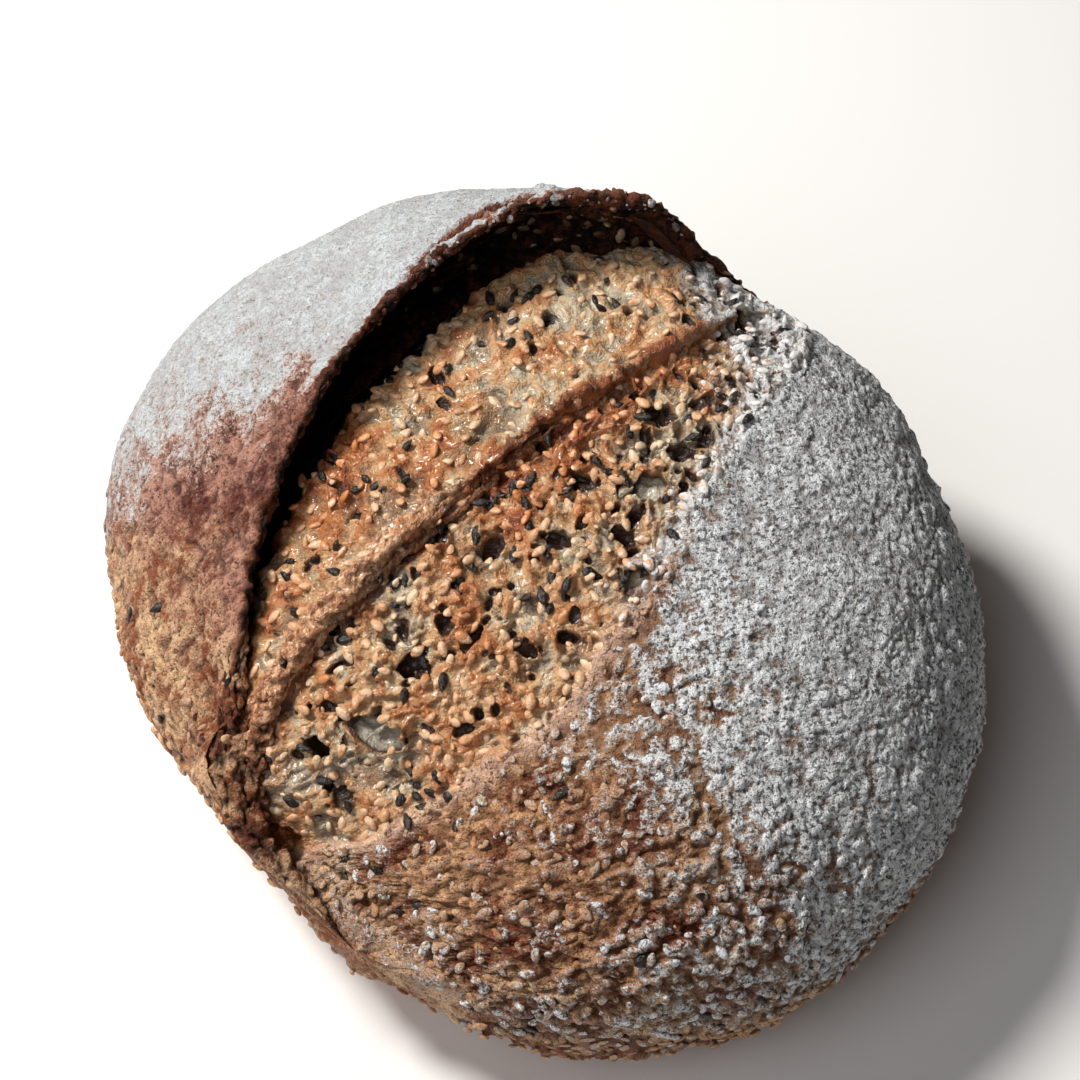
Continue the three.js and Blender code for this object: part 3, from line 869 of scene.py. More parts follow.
# The knotted ropes of dough at the heel: x, y, z and radius along each
KNOTS = [
    [(-35, -42, 61, 0.8), (-31, -48.5, 57, 1.5), (-27, -54.5, 52, 2.2), (-21.5, -59.8, 46.5, 2.7),
     (-16.5, -63.2, 41, 2.4), (-13, -64.5, 36.5, 1.2)],
    [(-24.5, -44, 58.5, 0.8), (-23.5, -50, 54.5, 1.6), (-20.5, -56, 49, 2.1), (-15, -61.5, 43, 2.3),
     (-10, -64, 37.5, 1.5)],
    [(-29.5, -51, 53, 0.9), (-28, -55.5, 48, 1.9), (-25.5, -58.2, 43, 2.0), (-22, -60, 38, 1.0)],
    [(-30, -55.5, 52.5, 1.0), (-25, -60.8, 48.5, 2.0), (-17.5, -64.2, 44.5, 2.3), (-10, -66.2, 41, 2.2),
     (-2, -67, 37.5, 2.0), (6, -67.3, 34, 1.0)],
]


def holes(plain, normal, moved, c, thick):
    """Bubbles torn open: each draws its part of the surface down and out into a round hollow. Returns the
    moved points, how deep in a hollow each lies, and the clear film left at the bottom of some."""
    on_a, on_b = c.on("face_a"), c.on("face_b")
    spots = []
    for y, x, width, length, depth, turn, skinned in AIR_HOLES:
        centre = np.argmin((plain[:, 1] - y) ** 2 + (plain[:, 0] - x) ** 2 + np.where(on_b | on_a, 0, 1e3))
        spots.append((centre, width, length, depth, math.radians(turn), skinned))
    chance = np.where(on_b, 1.0, np.where(on_a & (c.share > 0.4), 0.35, 0)) * thick
    chance *= np.abs(plain[:, 1] - 4) < 62
    for centre in rng.choice(len(plain), SMALL_HOLES, p=chance / chance.sum()):
        wide = 0.35 + 0.85 * rng.random() ** 2
        long = wide * (1 + 1.1 * rng.random())
        spots.append((centre, wide, long, wide * (1.5 + 1.0 * rng.random()), rng.random() * math.pi, 0))
    deep = np.zeros(len(plain))
    film = np.zeros(len(plain))
    wobble = 1 + 0.5 * hills(plain, 2.6, 21) + 0.35 * hills(plain, 1.1, 22)
    for centre, width, length, depth, turn, skinned in spots:
        middle, out = plain[centre], normal[centre]
        first = np.array([math.cos(turn), math.sin(turn), 0])
        first = first - out * (first @ out)
        first /= np.linalg.norm(first)
        second = np.cross(out, first)
        near = np.nonzero(np.linalg.norm(plain - middle, axis=1) < 1.8 * length)[0]
        gap = plain[near] - middle
        u, v = gap @ first / length, gap @ second / width
        r = np.hypot(u, v) * wobble[near]
        inside = r < 1
        swing = 0.62 * math.pi * (1 - r)
        opening = 0.38 * math.pi
        spread_out = np.where(inside, np.sin(opening + swing) / math.sin(opening), 1)
        down = np.where(inside, (math.cos(opening) - np.cos(opening + swing)) / (1 + math.cos(opening)), 0)
        push = np.clip(np.where(inside, spread_out / np.maximum(r, 1e-6) - 1, 0), -1, 6)
        lift = 0.3 * np.exp(-(((r - 1.1) / 0.14) ** 2)) * (r >= 1)
        side = (first * (u * length)[:, None] + second * (v * width)[:, None]) * push[:, None] * 0.9
        moved[near] += np.where(inside[:, None], side, 0) + normal[near] * (lift - depth * down)[:, None]
        deep[near] = np.maximum(deep[near], down)
        if skinned:
            film[near] = np.maximum(film[near], ramp(down, 0.7, 0.9))
            wrinkles = 0.9 * ramp(down, 0.6, 0.9) * lumps(plain[near], 1.5, 172)
            moved[near] += normal[near] * wrinkles[:, None]
    return moved, deep, film


def crumb_relief(c, past_ridge, to_crust, bed):
    """How far the torn faces stand out, the height of their strands, and where the drawn band at the ridge,
    the fold past it and the lip of the crust are."""
    plain, on = c.plain, c.on
    y, z = plain[:, 1], plain[:, 2]
    a, b = on("face_a"), on("face_b")

    # Torn strands with wells between them, rough in the lower face and drawn smoother in the upper
    bent = stirred(plain, 4.0, 1.3, 60)
    strands = 1.3 * ridged(bent, 4.2, 31) + 0.9 * ridged(bent, 2.2, 32) + 0.55 * ridged(bent, 1.2, 34)
    strands = strands - 1.5 * ramp(hills(bent, 5.5, 33), 0.1, 0.6)
    rough = np.where(b, 1.0, np.where(on("lip"), 0.5, 0.75)) * np.where(on("hem"), 0.4, 1)
    band = np.exp(-(((past_ridge + 0.4) / 2.3) ** 4)) * (1 - 0.95 * ramp(y, -20, 4))
    rough = rough * (1 - 0.75 * band) * (1 - 0.35 * ramp(-y, 34, 54))
    out = rough * (strands + 0.3 * lumps(plain, 0.9, 35) - 1.2)
    out += np.where(a, 1.0, 0.6) * (0.9 * hills(plain, 8, 36) + 0.8 * lumps(plain, 3.6, 48)) * (1 - band)
    out += 0.6 * bed * rough

    # The ridge is drawn into fibres, and just past it the crumb falls into a fold, whose shade is also
    # painted dark.
    fibres = stirred(np.column_stack([past_ridge, DRAWN_OUT * y, z]), 1.5, 0.5, 61)
    drawn = heaped(fibres, (1.0, ridged, 1.4, 45), (0.7, ridged, 0.75, 47))
    out += band * (0.3 + drawn + 0.4 * lumps(plain, 1.0, 51))
    fold = np.exp(-(((past_ridge - 3.2) / 1.3) ** 2)) * (b | on("lip")) * (1 - ramp(y, 12, 36))
    layers = np.exp(-(((past_ridge - 2.4) / 3.4) ** 2)) * (1 - ramp(y, 10, 40))
    out += layers * (1.2 * ridged(fibres, 1.6, 37) + 0.8 * ridged(fibres, 0.8, 38) - 0.9) - 1.7 * fold
    lip = np.exp(-((to_crust / 1.5) ** 2)) * (b | on("hem"))
    out += lip * (0.5 + 0.7 * hills(plain, 3, 39) + 0.9 * ridged(stirred(plain, 2, 0.7, 176), 1.5, 177))
    rope = np.exp(-(((past_ridge - 0.3) / 0.85) ** 2)) * ramp(y, 5, 25) * (1 - ramp(y, 44, 56))
    out += rope * (1.6 * lumps(plain, 1.8, 170) + 0.8 * lumps(plain, 0.9, 171) - 0.2)
    return out, strands, band, fold, lip


def crumb_marks(c, past_ridge, to_crust, bed, strands, band, fold, lip, deep, film, inside):
    """What the torn faces are like at each corner: floured, toasted, hollow, drawn out and so on, and where
    shade is painted dark: in the gap, the fold, the crevices and the holes.
    """
    plain, on = c.plain, c.on
    y = plain[:, 1]
    a, b = on("face_a"), on("face_b")
    _, crevice_shade, near_heel = heel_fold(plain)
    facing = ramp(c.normal[:, 2], 0.2, 0.7)
    flour = 0.85 * flour_on_tear(plain) * facing * (1 - deep) * (~on("hem"))
    by_crust = np.exp(-((to_crust / (7 + 4 * hills(plain, 4, 49))) ** 2)) * ramp(y, -24, 14)
    flour = np.maximum(flour, 0.7 * by_crust * (b | on("hem")) * (1 - deep))
    high = np.clip(0.5 + 0.45 * (strands - 1.1), 0, 1)
    toast = np.where(a, 0.05 + 0.55 * high, 0.1 + 0.5 * high)
    toast += 0.4 * hills(plain, 8, 41) + 0.35 * hills(plain, 3, 42)
    toast += np.where(a, 0.35 * (1 - ramp(y, -14, 22)), 0.12 * ramp(y, -25, 5))
    baked = np.exp(-(((past_ridge - 3.5) / 5) ** 2) - ((y - 20) / 15) ** 2) * (b | on("lip"))
    toast += 0.5 * baked + np.where(a, 0, 0.1 * ramp(-y, 22, 48))
    from_seam = (past_ridge - np.interp(y, [-10, 20], [1.8, 0.3])) / np.interp(y, [10, 30], [0.9, 0.85])
    seam = np.exp(-(from_seam**2)) * (0.5 + 0.5 * ramp(y, -20, 10)) * (0.8 + 0.6 * hills(plain, 2, 52))
    seam = seam * (1 - ramp(y, 44, 58))
    # In the fold past the ridge the seam's dark red-brown is painted shade; at the ridge it is the seam's
    # own colour.
    seam = np.maximum(0.8 * seam, np.maximum(0.8 * fold, 0.25 * baked))
    return {
        "flour": flour,
        "toast": np.clip(toast, 0, 1.2),
        "hollow": deep,
        "film": film,
        "seam": np.clip(seam, 0, 1),
        "band": band,
        "lip": lip * (1 - 0.6 * ramp(y, 10, 40)),
        # inside and deep mark where shade is painted dark: inside near black in the gap and the heel's
        # crevices, deep in the crevices between the strands.
        "inside": np.maximum(inside, 0.9 * crevice_shade),
        "burnt": near_heel,
        "deep": (1 - ramp(strands + 0.6 * bed, 0.0, 0.9)) * (1 - band) * (1 - 0.85 * lip),
    }


def make_crumb():
    """Both torn faces as one sheet, with the ridge between them and the crust's pale lip at the edge."""
    cuts = np.linspace(*CRUMB_ENDS, CRUMB_CUTS)
    piece, c = sheet_of("torn_crumb", cuts, CRUMB_SIDES, CRUMB_STRIPS)
    plain, normal, on = c.plain, c.normal, c.on
    x, y = plain[:, 0], plain[:, 1]
    rim, ridge, crust = (
        np.array([line(name, v)[0] for v in cuts])[c.cut] for name in ["rim", "ridge", "crust"])
    past_rim, past_ridge, to_crust = x - rim, x - ridge, crust - x
    thick = ramp(np.minimum(y + HEEL, SHOULDER - y), 1.5, 14)
    upper = on("face_a") & (c.share > 0.4)
    lower = on("face_b")

    # Seeds in the torn faces: thick in the lower one, sparse in the stretched upper one
    weight = c.area * (thick > 0.3) * (lower + 0.4 * upper)
    spots = spread(weight, plain, CRUMB_SEEDS, 2.15)
    bed = skirt(plain, plain[spots], 1.4)

    out, strands, band, fold, lip = crumb_relief(c, past_ridge, to_crust, bed)
    out *= thick
    heel, _, _ = heel_fold(plain)
    moved = plain + normal * out[:, None] + outward(plain) * heel[:, None]
    edge_jag = np.exp(-((past_ridge / 0.9) ** 2)) * (
        0.9 * hills(plain * [0, 1, 0], 3, 43) + 0.9 * hills(plain * [0, 1, 0], 1.1, 44))
    moved += (edge_jag * thick)[:, None] * np.array([1.0, 0, 0.1])
    moved, deep, film = holes(plain, normal, moved, c, thick)

    # Under the ear's rim the face drops away into the gap, and there it is painted near black for the gap's
    # shade.
    reach = np.interp(y, *GAP_SHADE) + 1.6 * hills(plain, 5, 46) + 1.2 * hills(plain, 2, 47)
    inside = np.where(on("face_a"), 1 - ramp(past_rim - reach, -1.2, 1.6), 0)
    moved -= (inside * 6.0 * thick)[:, None] * UP
    move_corners(piece, place(moved))
    close_down(piece, 3)
    marks = crumb_marks(c, past_ridge, to_crust, bed, strands, band, fold, lip, deep, film, inside)
    keep_marks(piece, marks)
    return piece, SimpleNamespace(form=moved, normal=normal, area=c.area, spots=spots, marks=marks,
                                  thick=thick, deep=deep, upper=upper, lower=lower)


def hung_layer(number, start, end, over, down, width, slope):
    """A thin ragged layer that hangs along the ridge from start to end: over and down say where."""
    count = int((end - start) / 0.4)
    layer = added(f"layer_{number}", bpy.ops.mesh.primitive_grid_add,
                  x_subdivisions=count, y_subdivisions=8, size=2)
    sheet = corners_of(layer)
    t, w = (sheet[:, 0] + 1) / 2, (sheet[:, 1] + 1) / 2
    y = start + (end - start) * t
    ridge = np.array([line("ridge", v) for v in np.linspace(start, end, count + 1)])
    hung = ridge[np.rint(t * count).astype(int)]
    lines = np.column_stack([0 * y, y, 0 * y])
    taper = np.sqrt(np.clip(np.sin(math.pi * np.clip(t, 0.01, 0.99)), 0, 1))
    ragged = heaped(lines, (0.5, hills, 4.5, 80 + number), (0.4, hills, 1.5, 90 + number),
                    (0.3, hills, 0.8, 95 + number))
    wide = width * taper * (0.8 + ragged)
    fall = math.radians(slope) + 0.35 * hills(lines, 7, 100 + number) - 0.5 * w
    px = hung[:, 0] + over + 0.6 * hills(lines, 5, 110 + number) + wide * w * np.cos(fall)
    pz = hung[:, 1] - down + 0.5 * hills(lines, 4, 120 + number) + wide * w * np.sin(fall)
    move_corners(layer, np.column_stack([px, y, pz]))
    thicken = layer.modifiers.new("thickness", "SOLIDIFY")
    thicken.thickness = LAYER_THICKNESS
    thicken.offset = 0
    bpy.context.view_layer.objects.active = layer
    bpy.ops.object.modifier_apply(modifier="thickness")
    points = stirred(corners_of(layer), 1.7, LAYER_ROUGHNESS, 130 + number)
    points = stirred(points, 0.8, 0.5 * LAYER_ROUGHNESS, 140 + number)
    move_corners(layer, place(risen(points)))
    return layer


def knot(number, path):
    """A knobbly rope of torn dough along the path, whose corners are (x, y, z, radius)."""
    rope = added(f"knot_{number}", bpy.ops.mesh.primitive_uv_sphere_add,
                 segments=72, ring_count=120, radius=0.5)
    co = corners_of(rope)
    t = np.arccos(np.clip(co[:, 2] / 0.5, -1, 1)) / math.pi
    spine_line = np.array(path)
    at = np.column_stack([np.interp(t, np.linspace(0, 1, len(path)), spine_line[:, k]) for k in range(4)])
    rounded = np.sin(math.pi * t) ** 0.4 * at[:, 3]
    ahead = spine_line[-1, :3] - spine_line[0, :3]
    ahead /= np.linalg.norm(ahead)
    side = np.cross(ahead, UP)
    side /= np.linalg.norm(side)
    over = np.cross(side, ahead)
    angle = np.arctan2(co[:, 1], co[:, 0])
    way = np.cos(angle)[:, None] * side + np.sin(angle)[:, None] * over
    p = at[:, :3] + way * rounded[:, None]
    height = 1.7 * lumps(stirred(p, 3, 1, 160 + number), 2.8, 163)
    height += heaped(p, (1.0, lumps, 1.5, 164), (0.5, hills, 0.8, 165))
    moved = p + way * ((height - 1.2) * np.clip(rounded / 2, 0, 1))[:, None]
    move_corners(rope, place(risen(moved)))
    # Painted shade: the crevices between the lumps are darkened.
    note(rope, "inside", 0.85 * (1 - ramp(height, 0.4, 1.2)))
    note(rope, "burnt", np.clip(0.3 + 0.5 * hills(p, 3.5, 166), 0, 1))
    note(rope, "deep", 0.6 * (1 - ramp(height, 1.0, 2.0)))
    note(rope, "ear_skin", np.ones(len(p)))
    note(rope, "tan", np.ones(len(p)))
    note(rope, "flour", np.full(len(p), 0.06))
    return rope


def make_flaps(crumb, crust):
    """Layers of crumb drawn out at the ridge as the dough tore, and the knotted end of the tear."""
    layers = [hung_layer(n, *settings) for n, settings in enumerate(LAYERS)]
    for layer in layers:
        co = corners_of(layer) / MM
        note(layer, "toast", np.full(len(co), 0.5))
        note(layer, "seam", np.clip(0.5 + 0.6 * hills(co, 2.5, 58), 0, 1))
        # The layers take the band's colour, painted paler for the light that falls on them.
        note(layer, "band", np.full(len(co), 0.7))
        note(layer, "flour", np.full(len(co), 0.1))
    fit_to_loaf(joined("ridge_flaps", layers), crumb)
    knots = [knot(n, path) for n, path in enumerate(KNOTS)]
    fit_to_loaf(joined("heel_knots", knots), crust)


# -----------------------------------------------------------------------------------------------------------
# Seeds and crumbs, each modelled once, in mm
# -----------------------------------------------------------------------------------------------------------
# Length, width and thickness, and how far one end is pinched
SESAME = (3.2, 2.0, 1.15, 0.3)
BLACK_SEED = (3.7, 1.9, 1.05, 0.5)
GAP_SEEDS = 110  # white ones, in the wall of the gap under the ear
BLACK_ON_DOME, BLACK_ON_EAR, BLACK_ON_CRUMB = 44, 7, 135
RIM_SCRAPS, HEEL_SCRAPS = 210, 30


def lifted_out(piece, co):
    """Takes a modelled shape out of the scene, and returns its points and faces to be copied."""
    faces = [tuple(p.vertices) for p in piece.data.polygons]
    mesh = piece.data
    bpy.data.objects.remove(piece)
    bpy.data.meshes.remove(mesh)
    return co, faces


def seed_shape(name, length, width, thickness, point):
    """One seed: a flat drop, pointed at one end, its centre at the origin."""
    piece = added(name, bpy.ops.mesh.primitive_uv_sphere_add, segments=8, ring_count=6, radius=0.5)
    bpy.ops.object.mode_set(mode="EDIT")
    bpy.ops.mesh.select_all(action="SELECT")
    bpy.ops.transform.rotate(value=math.pi / 2, orient_axis="Y", center_override=(0, 0, 0))
    bpy.ops.transform.resize(value=(length, width, thickness))
    bpy.ops.object.mode_set(mode="OBJECT")
    co = corners_of(piece)
    along = co[:, 0] / (length / 2)
    pinch = 1 - point * ramp(along, -0.2, 1.0)
    co[:, 1] *= pinch
    co[:, 2] *= 0.4 + 0.6 * pinch
    return lifted_out(piece, co)


def bit_shape():
    """One crumb: a lump with a few facets, rounded, about 1 mm across."""
    piece = added("crumb_bit", bpy.ops.mesh.primitive_ico_sphere_add, subdivisions=2, radius=0.5)
    co = corners_of(piece)
    co *= (1 + 0.45 * hills(co, 0.45, 140) + 0.2 * hills(co, 0.2, 141))[:, None]
    return lifted_out(piece, co)


def make_bits(ear, material):
    """Crumbs and torn scraps of crust, along the ear's rim and in the torn fold at the heel."""
    shape = bit_shape()
    y = ear.form[:, 1]
    rim_top = ear.on("rim") | (ear.on("wall") & (ear.share < 0.3))
    weight = ear.area * rim_top * (0.06 + ramp(y, 8, 25)) * (y < 67)
    on_rim = spread(weight, ear.form, RIM_SCRAPS, 1.0)
    near = np.exp(-(np.linalg.norm((ear.form - HEEL_FOLD) / [8, 6, 7], axis=1) ** 2))
    on_heel = spread(ear.area * near, ear.form, HEEL_SCRAPS, 1.6)
    spots = np.concatenate([on_rim, on_heel])
    sizes = np.concatenate([0.5 + 1.5 * rng.random(len(on_rim)) ** 2, rng.uniform(0.8, 1.8, len(on_heel))])
    on_top = 0.9 * ramp(y[on_rim], 8, 30) * rng.random(len(on_rim))
    flour = np.concatenate([on_top, np.full(len(on_heel), 0.05)])
    shade = np.concatenate([0.6 * rng.random(len(on_rim)), 0.1 + 0.4 * rng.random(len(on_heel))])
    strew("torn_scraps", shape, ear.form[spots], ear.normal[spots], -0.1, 0.9, material,
          dict(flour=flour, ear_skin=np.ones(len(spots)), burnt=np.full(len(spots), 0.85), inside=shade),
          sizes=sizes)


def sow_crumb(ear, crumb, shape, material):
    """White sesame held in the torn faces and in the wall of the gap, where they are painted darker for its
    shade.
    """
    spots = crumb.spots[(crumb.deep[crumb.spots] < 0.3) & (crumb.marks["inside"][crumb.spots] < 0.5)]
    y = ear.form[:, 1]
    weight = ear.area * (ear.on("wall") & (ear.share < 0.8)) * ramp(y, -5, 15)
    in_gap = spread(weight, ear.form, GAP_SEEDS, 2.3)
    places = np.concatenate([crumb.form[spots], ear.form[in_gap]])
    normals = np.concatenate([crumb.normal[spots], ear.normal[in_gap]])
    n = len(places)
    flour = np.concatenate([crumb.marks["flour"][spots] * 0.9, np.zeros(len(in_gap))])
    # Painted shade for the seeds in the gap's wall.
    gap_wall_shade = np.concatenate([np.zeros(len(spots)), rng.uniform(0.35, 0.95, len(in_gap))])
    toast = np.concatenate([np.clip(crumb.marks["toast"][spots], 0, 1), np.zeros(len(in_gap))])
    strew("crumb_sesame", shape, places, normals, rng.uniform(-0.65, 0.0, n), 0.45, material,
          dict(flour=flour, gap_wall_shade=gap_wall_shade, toast=toast), sizes=(0.75, 1.08))


def sow_crust(skins, shape, material):
    """White sesame baked into the crust, with the marks of the crust round it."""
    spots = np.concatenate([s.form[s.spots] for s in skins])
    normals = np.concatenate([s.normal[s.spots] for s in skins])
    low = np.concatenate([s.low[s.spots] for s in skins])
    marks = {name: np.concatenate([s.marks[name][s.spots] for s in skins]) for name in skins[0].marks}
    marks["deep"] = 0 * marks["deep"]
    dusted = rng.random(len(spots)) < 0.45
    marks["flour"] = np.clip(marks["flour"] + dusted * rng.uniform(0.05, 0.26, len(spots)), 0, 0.95)
    proud = rng.uniform(-0.75, -0.25, len(spots)) + 0.55 * low**2
    strew("crust_sesame", shape, spots, normals, proud, 0.2, material, marks, sizes=(0.6, 1.05))


def sow_black(ear, dome, crumb, shape, material):
    """Black sesame: a few on the bare crust, and many round the air holes of the torn faces."""
    weight = dome.area * (0.8 * dome.low + 0.12) * (dome.marks["flour"] < 0.5)
    on_dome = spread(weight, dome.form, BLACK_ON_DOME, 4)
    weight = ear.area * ear.on("ear") * ear.low * (ear.marks["flour"] < 0.3)
    on_ear = spread(weight, ear.form, BLACK_ON_EAR, 9)
    weight = crumb.area * (crumb.thick > 0.3) * (crumb.lower + 0.7 * crumb.upper)
    weight = weight * (crumb.marks["inside"] < 0.2)
    weight = weight * (0.25 + 2.5 * crumb.deep * (1 - crumb.deep))
    weight = weight * ramp(hills(crumb.form, 9, 50), -0.3, 0.3)
    on_crumb = spread(weight, crumb.form, BLACK_ON_CRUMB, 1.8)
    spots = np.concatenate([dome.form[on_dome], ear.form[on_ear], crumb.form[on_crumb]])
    normals = np.concatenate([dome.normal[on_dome], ear.normal[on_ear], crumb.normal[on_crumb]])
    lift = np.concatenate([np.full(len(on_dome) + len(on_ear), 0.0), np.full(len(on_crumb), 0.15)])
    strew("black_seeds", shape, spots, normals, lift, 0.35, material, sizes=(0.75, 1.1))


# -----------------------------------------------------------------------------------------------------------
# Materials, with the sizes of their patterns in mm
# -----------------------------------------------------------------------------------------------------------
EASED = {"interpolation_type": "SMOOTHSTEP"}


def colour(code):
    """sRGB hex to linear RGBA."""
    parts = [int(code[i:i + 2], 16) / 255 for i in (1, 3, 5)]
    return tuple(c / 12.92 if c <= 0.04045 else ((c + 0.055) / 1.055) ** 2.4 for c in parts) + (1.0,)


def add(tree, kind, inputs=(), out="", **settings):
    """A node with its settings. Its inputs, by name or in their order, are linked to sockets or set to
    values, and a value may be a hex colour. Returns the output of that name, or else the first one."""
    made = tree.nodes.new("ShaderNode" + kind)
    for key, value in settings.items():
        setattr(made, key, value)
    named = isinstance(inputs, dict)
    sockets = [made.inputs[key] for key in inputs] if named else [s for s in made.inputs if s.enabled]
    for socket, value in zip(sockets, inputs.values() if named else inputs):
        if isinstance(value, bpy.types.NodeSocket):
            tree.links.new(value, socket)
        else:
            socket.default_value = colour(value) if isinstance(value, str) else value
    return made.outputs[out] if out else next((s for s in made.outputs if s.enabled), None)


def weighed(tree, terms, start=0.0):
    """A sum of values, each times its weight, on top of start."""
    total = start
    for value, weight in terms:
        total = add(tree, "Math", [value, weight, total], operation="MULTIPLY_ADD")
    return total


def layered(tree, ground, *layers):
    """A colour with others laid over it, each given as its colour, where it hides the rest, and how far."""
    for tone, where, most in layers:
        hides = add(tree, "Math", [where, most], operation="MULTIPLY")
        ground = add(tree, "Mix", [hides, ground, tone], data_type="RGBA")
    return ground


def bumped(tree, heights):
    """One bump after another, from the coarsest, each given as its height and how many mm it stands for."""
    normal = None
    for height, distance in heights:
        inputs = {"Height": height, "Strength": 1.0, "Distance": distance * MM}
        if normal is not None:
            inputs["Normal"] = normal
        normal = add(tree, "Bump", inputs)
    return normal


def blank(name):
    """A new material, its empty node tree, and the coordinates that its patterns are laid on."""
    material = bpy.data.materials.new(name)
    material.use_nodes = True
    tree = material.node_tree
    tree.nodes.clear()
    return material, tree, add(tree, "TexCoord", out="Object")


def per_mm(size):
    """The scale of a noise whose features are this many mm across, on coordinates in metres."""
    return 1 / (size * MM)


def flour_coat(tree, grain, granule, cloud, thin, white, crack_shade, cracked):
    """The bench flour's colour, and how much it hides: a thin veil, then clumps, with painted shade
    in the crevices between them and in tiny hollows.
    """
    flour, deep = (add(tree, "Attribute", out="Fac", attribute_name=name) for name in ["flour", "deep"])
    heights = [(grain, 0.38), (granule, 0.34), (cloud, 0.28)]
    depth = weighed(tree, [*heights, (flour, 0.42), (deep, -0.06)], -0.7)
    clumps = add(tree, "MapRange", [depth, -0.01, 0.09], **EASED)
    # Painted shade: tiny hollows and the crevices between clumps are darkened, most where the relief lies
    # deep.
    pit_shade = add(tree, "MapRange", [weighed(tree, [(cloud, -0.35)], grain), 0.43, 0.49], **EASED)
    granule_gap_shade = add(tree, "MapRange", [granule, 0.40, 0.49, 1, 0], **EASED)
    granule_gap_shade = add(tree, "Math", [granule_gap_shade, weighed(tree, [(deep, 0.7)])], operation="MAXIMUM")
    flour = layered(tree, thin, (white, clumps, 1), (crack_shade, pit_shade, 0.6), (crack_shade, granule_gap_shade, cracked))
    return flour, add(tree, "MapRange", [depth, -0.065, 0.03], **EASED)


def crust_finish(tree, where):
    """Bare crust and the flour on it, the same on the crust and on the seeds baked into it. Returns the
    skin's colour and the flour's colour, both with painted shade in their crevices, how much the flour
    hides, and the heights of its three patterns."""
    # Flour grains, their clumps, the patches that those lie in, and the slow change of the bake. Grains are
    # finer than 0.1 mm, too fine to show, so they are drawn at 0.38 mm.
    grain, granule, cloud, slow = (
        add(tree, "TexNoise", [where, per_mm(size), detail, rough])
        for size, detail, rough in [(0.38, 2, 0.5), (0.95, 3, 0.66), (3, 6, 0.74), (11, 3, 0.55)])
    on_ear, tan, edge_bake, deep, burnt = (
        add(tree, "Attribute", out="Fac", attribute_name=name)
        for name in ["ear_skin", "tan", "edge_bake", "deep", "burnt"])
    # The same flour is painted greyer on the ear, where the window's light falls full, and whiter on the
    # dome, which turns from it: painted shade and painted light. The third pair of colours is painted shade
    # between the clumps, and cracked sets how dark it goes.
    thin, white, crack_shade = (
        layered(tree, on_dome, (over_ear, on_ear, 1))
        for on_dome, over_ear in [("#b7a08f", "#cba18d"), ("#f2f5f6", "#d7dcdf"), ("#2c231e", "#857870")])
    cracked = add(tree, "MapRange", [on_ear, 0, 1, 0.8, 0.4], **EASED)
    flour, cover = flour_coat(tree, grain, granule, cloud, thin, white, crack_shade, cracked)
    bake = weighed(tree, [(slow, 0.7), (cloud, 0.9), (granule, 0.5)])
    bake = add(tree, "MapRange", [bake, 0.91, 1.19], **EASED)
    dome, mauve, golden, scorched = (
        layered(tree, pale, (dark, bake, 1))
        for pale, dark in [("#f3b985", "#903e12"), ("#c9917b", "#642717"), ("#f4ca9c", "#9c5228"),
                           ("#a5603f", "#3d1207")])
    # Painted shade: the bare skin's crevices are darkened to a deep red-brown, most where the relief lies
    # deep.
    granule_gap_shade = add(tree, "MapRange", [granule, 0.34, 0.46, 1, 0], **EASED)
    granule_gap_shade = add(tree, "Math", [granule_gap_shade, weighed(tree, [(deep, 0.9)])], operation="MAXIMUM")
    skin = layered(tree, dome, (mauve, on_ear, 1), (golden, tan, 1), ("#eec5aa", edge_bake, 0.85),
                   ("#3a1205", granule_gap_shade, 0.85), (scorched, burnt, 0.9))
    return skin, flour, cover, cloud, granule, grain


def baked_crust():
    """Baked wheat crust under bench flour: dry, matte and finely blistered, so light scatters off every
    grain; where it is bare it shows a dull sheen from the starch that set in the steam."""
    material, tree, where = blank("baked_crust")
    skin, flour, cover, cloud, granule, grain = crust_finish(tree, where)
    inside, deep = (add(tree, "Attribute", out="Fac", attribute_name=name) for name in ["inside", "deep"])
    # Painted shade: inside the gap, in the heel's crevices and on the darker scraps the crust is painted
    # near black, blackest where the relief lies deep.
    patches = add(tree, "MapRange", [cloud, 0.42, 0.62], **EASED)
    dark = layered(tree, "#140703", ("#7d4222", patches, 1), ("#070201", deep, 1))
    matte = add(tree, "MapRange", [cover, 0, 1, 0.45, 0.95], **EASED)
    shader = add(tree, "BsdfPrincipled", {
        "Base Color": layered(tree, skin, (flour, cover, 1), (dark, inside, 1)),
        "Roughness": add(tree, "Math", [matte, weighed(tree, [(inside, 0.85)])], operation="MAXIMUM"),
        "IOR": 1.45,
        "Specular IOR Level": 0.4,
        "Normal": bumped(tree, [(cloud, 1.2), (granule, 1.2), (grain, 0.35)]),
    })
    add(tree, "OutputMaterial", {"Surface": shader})
    return material


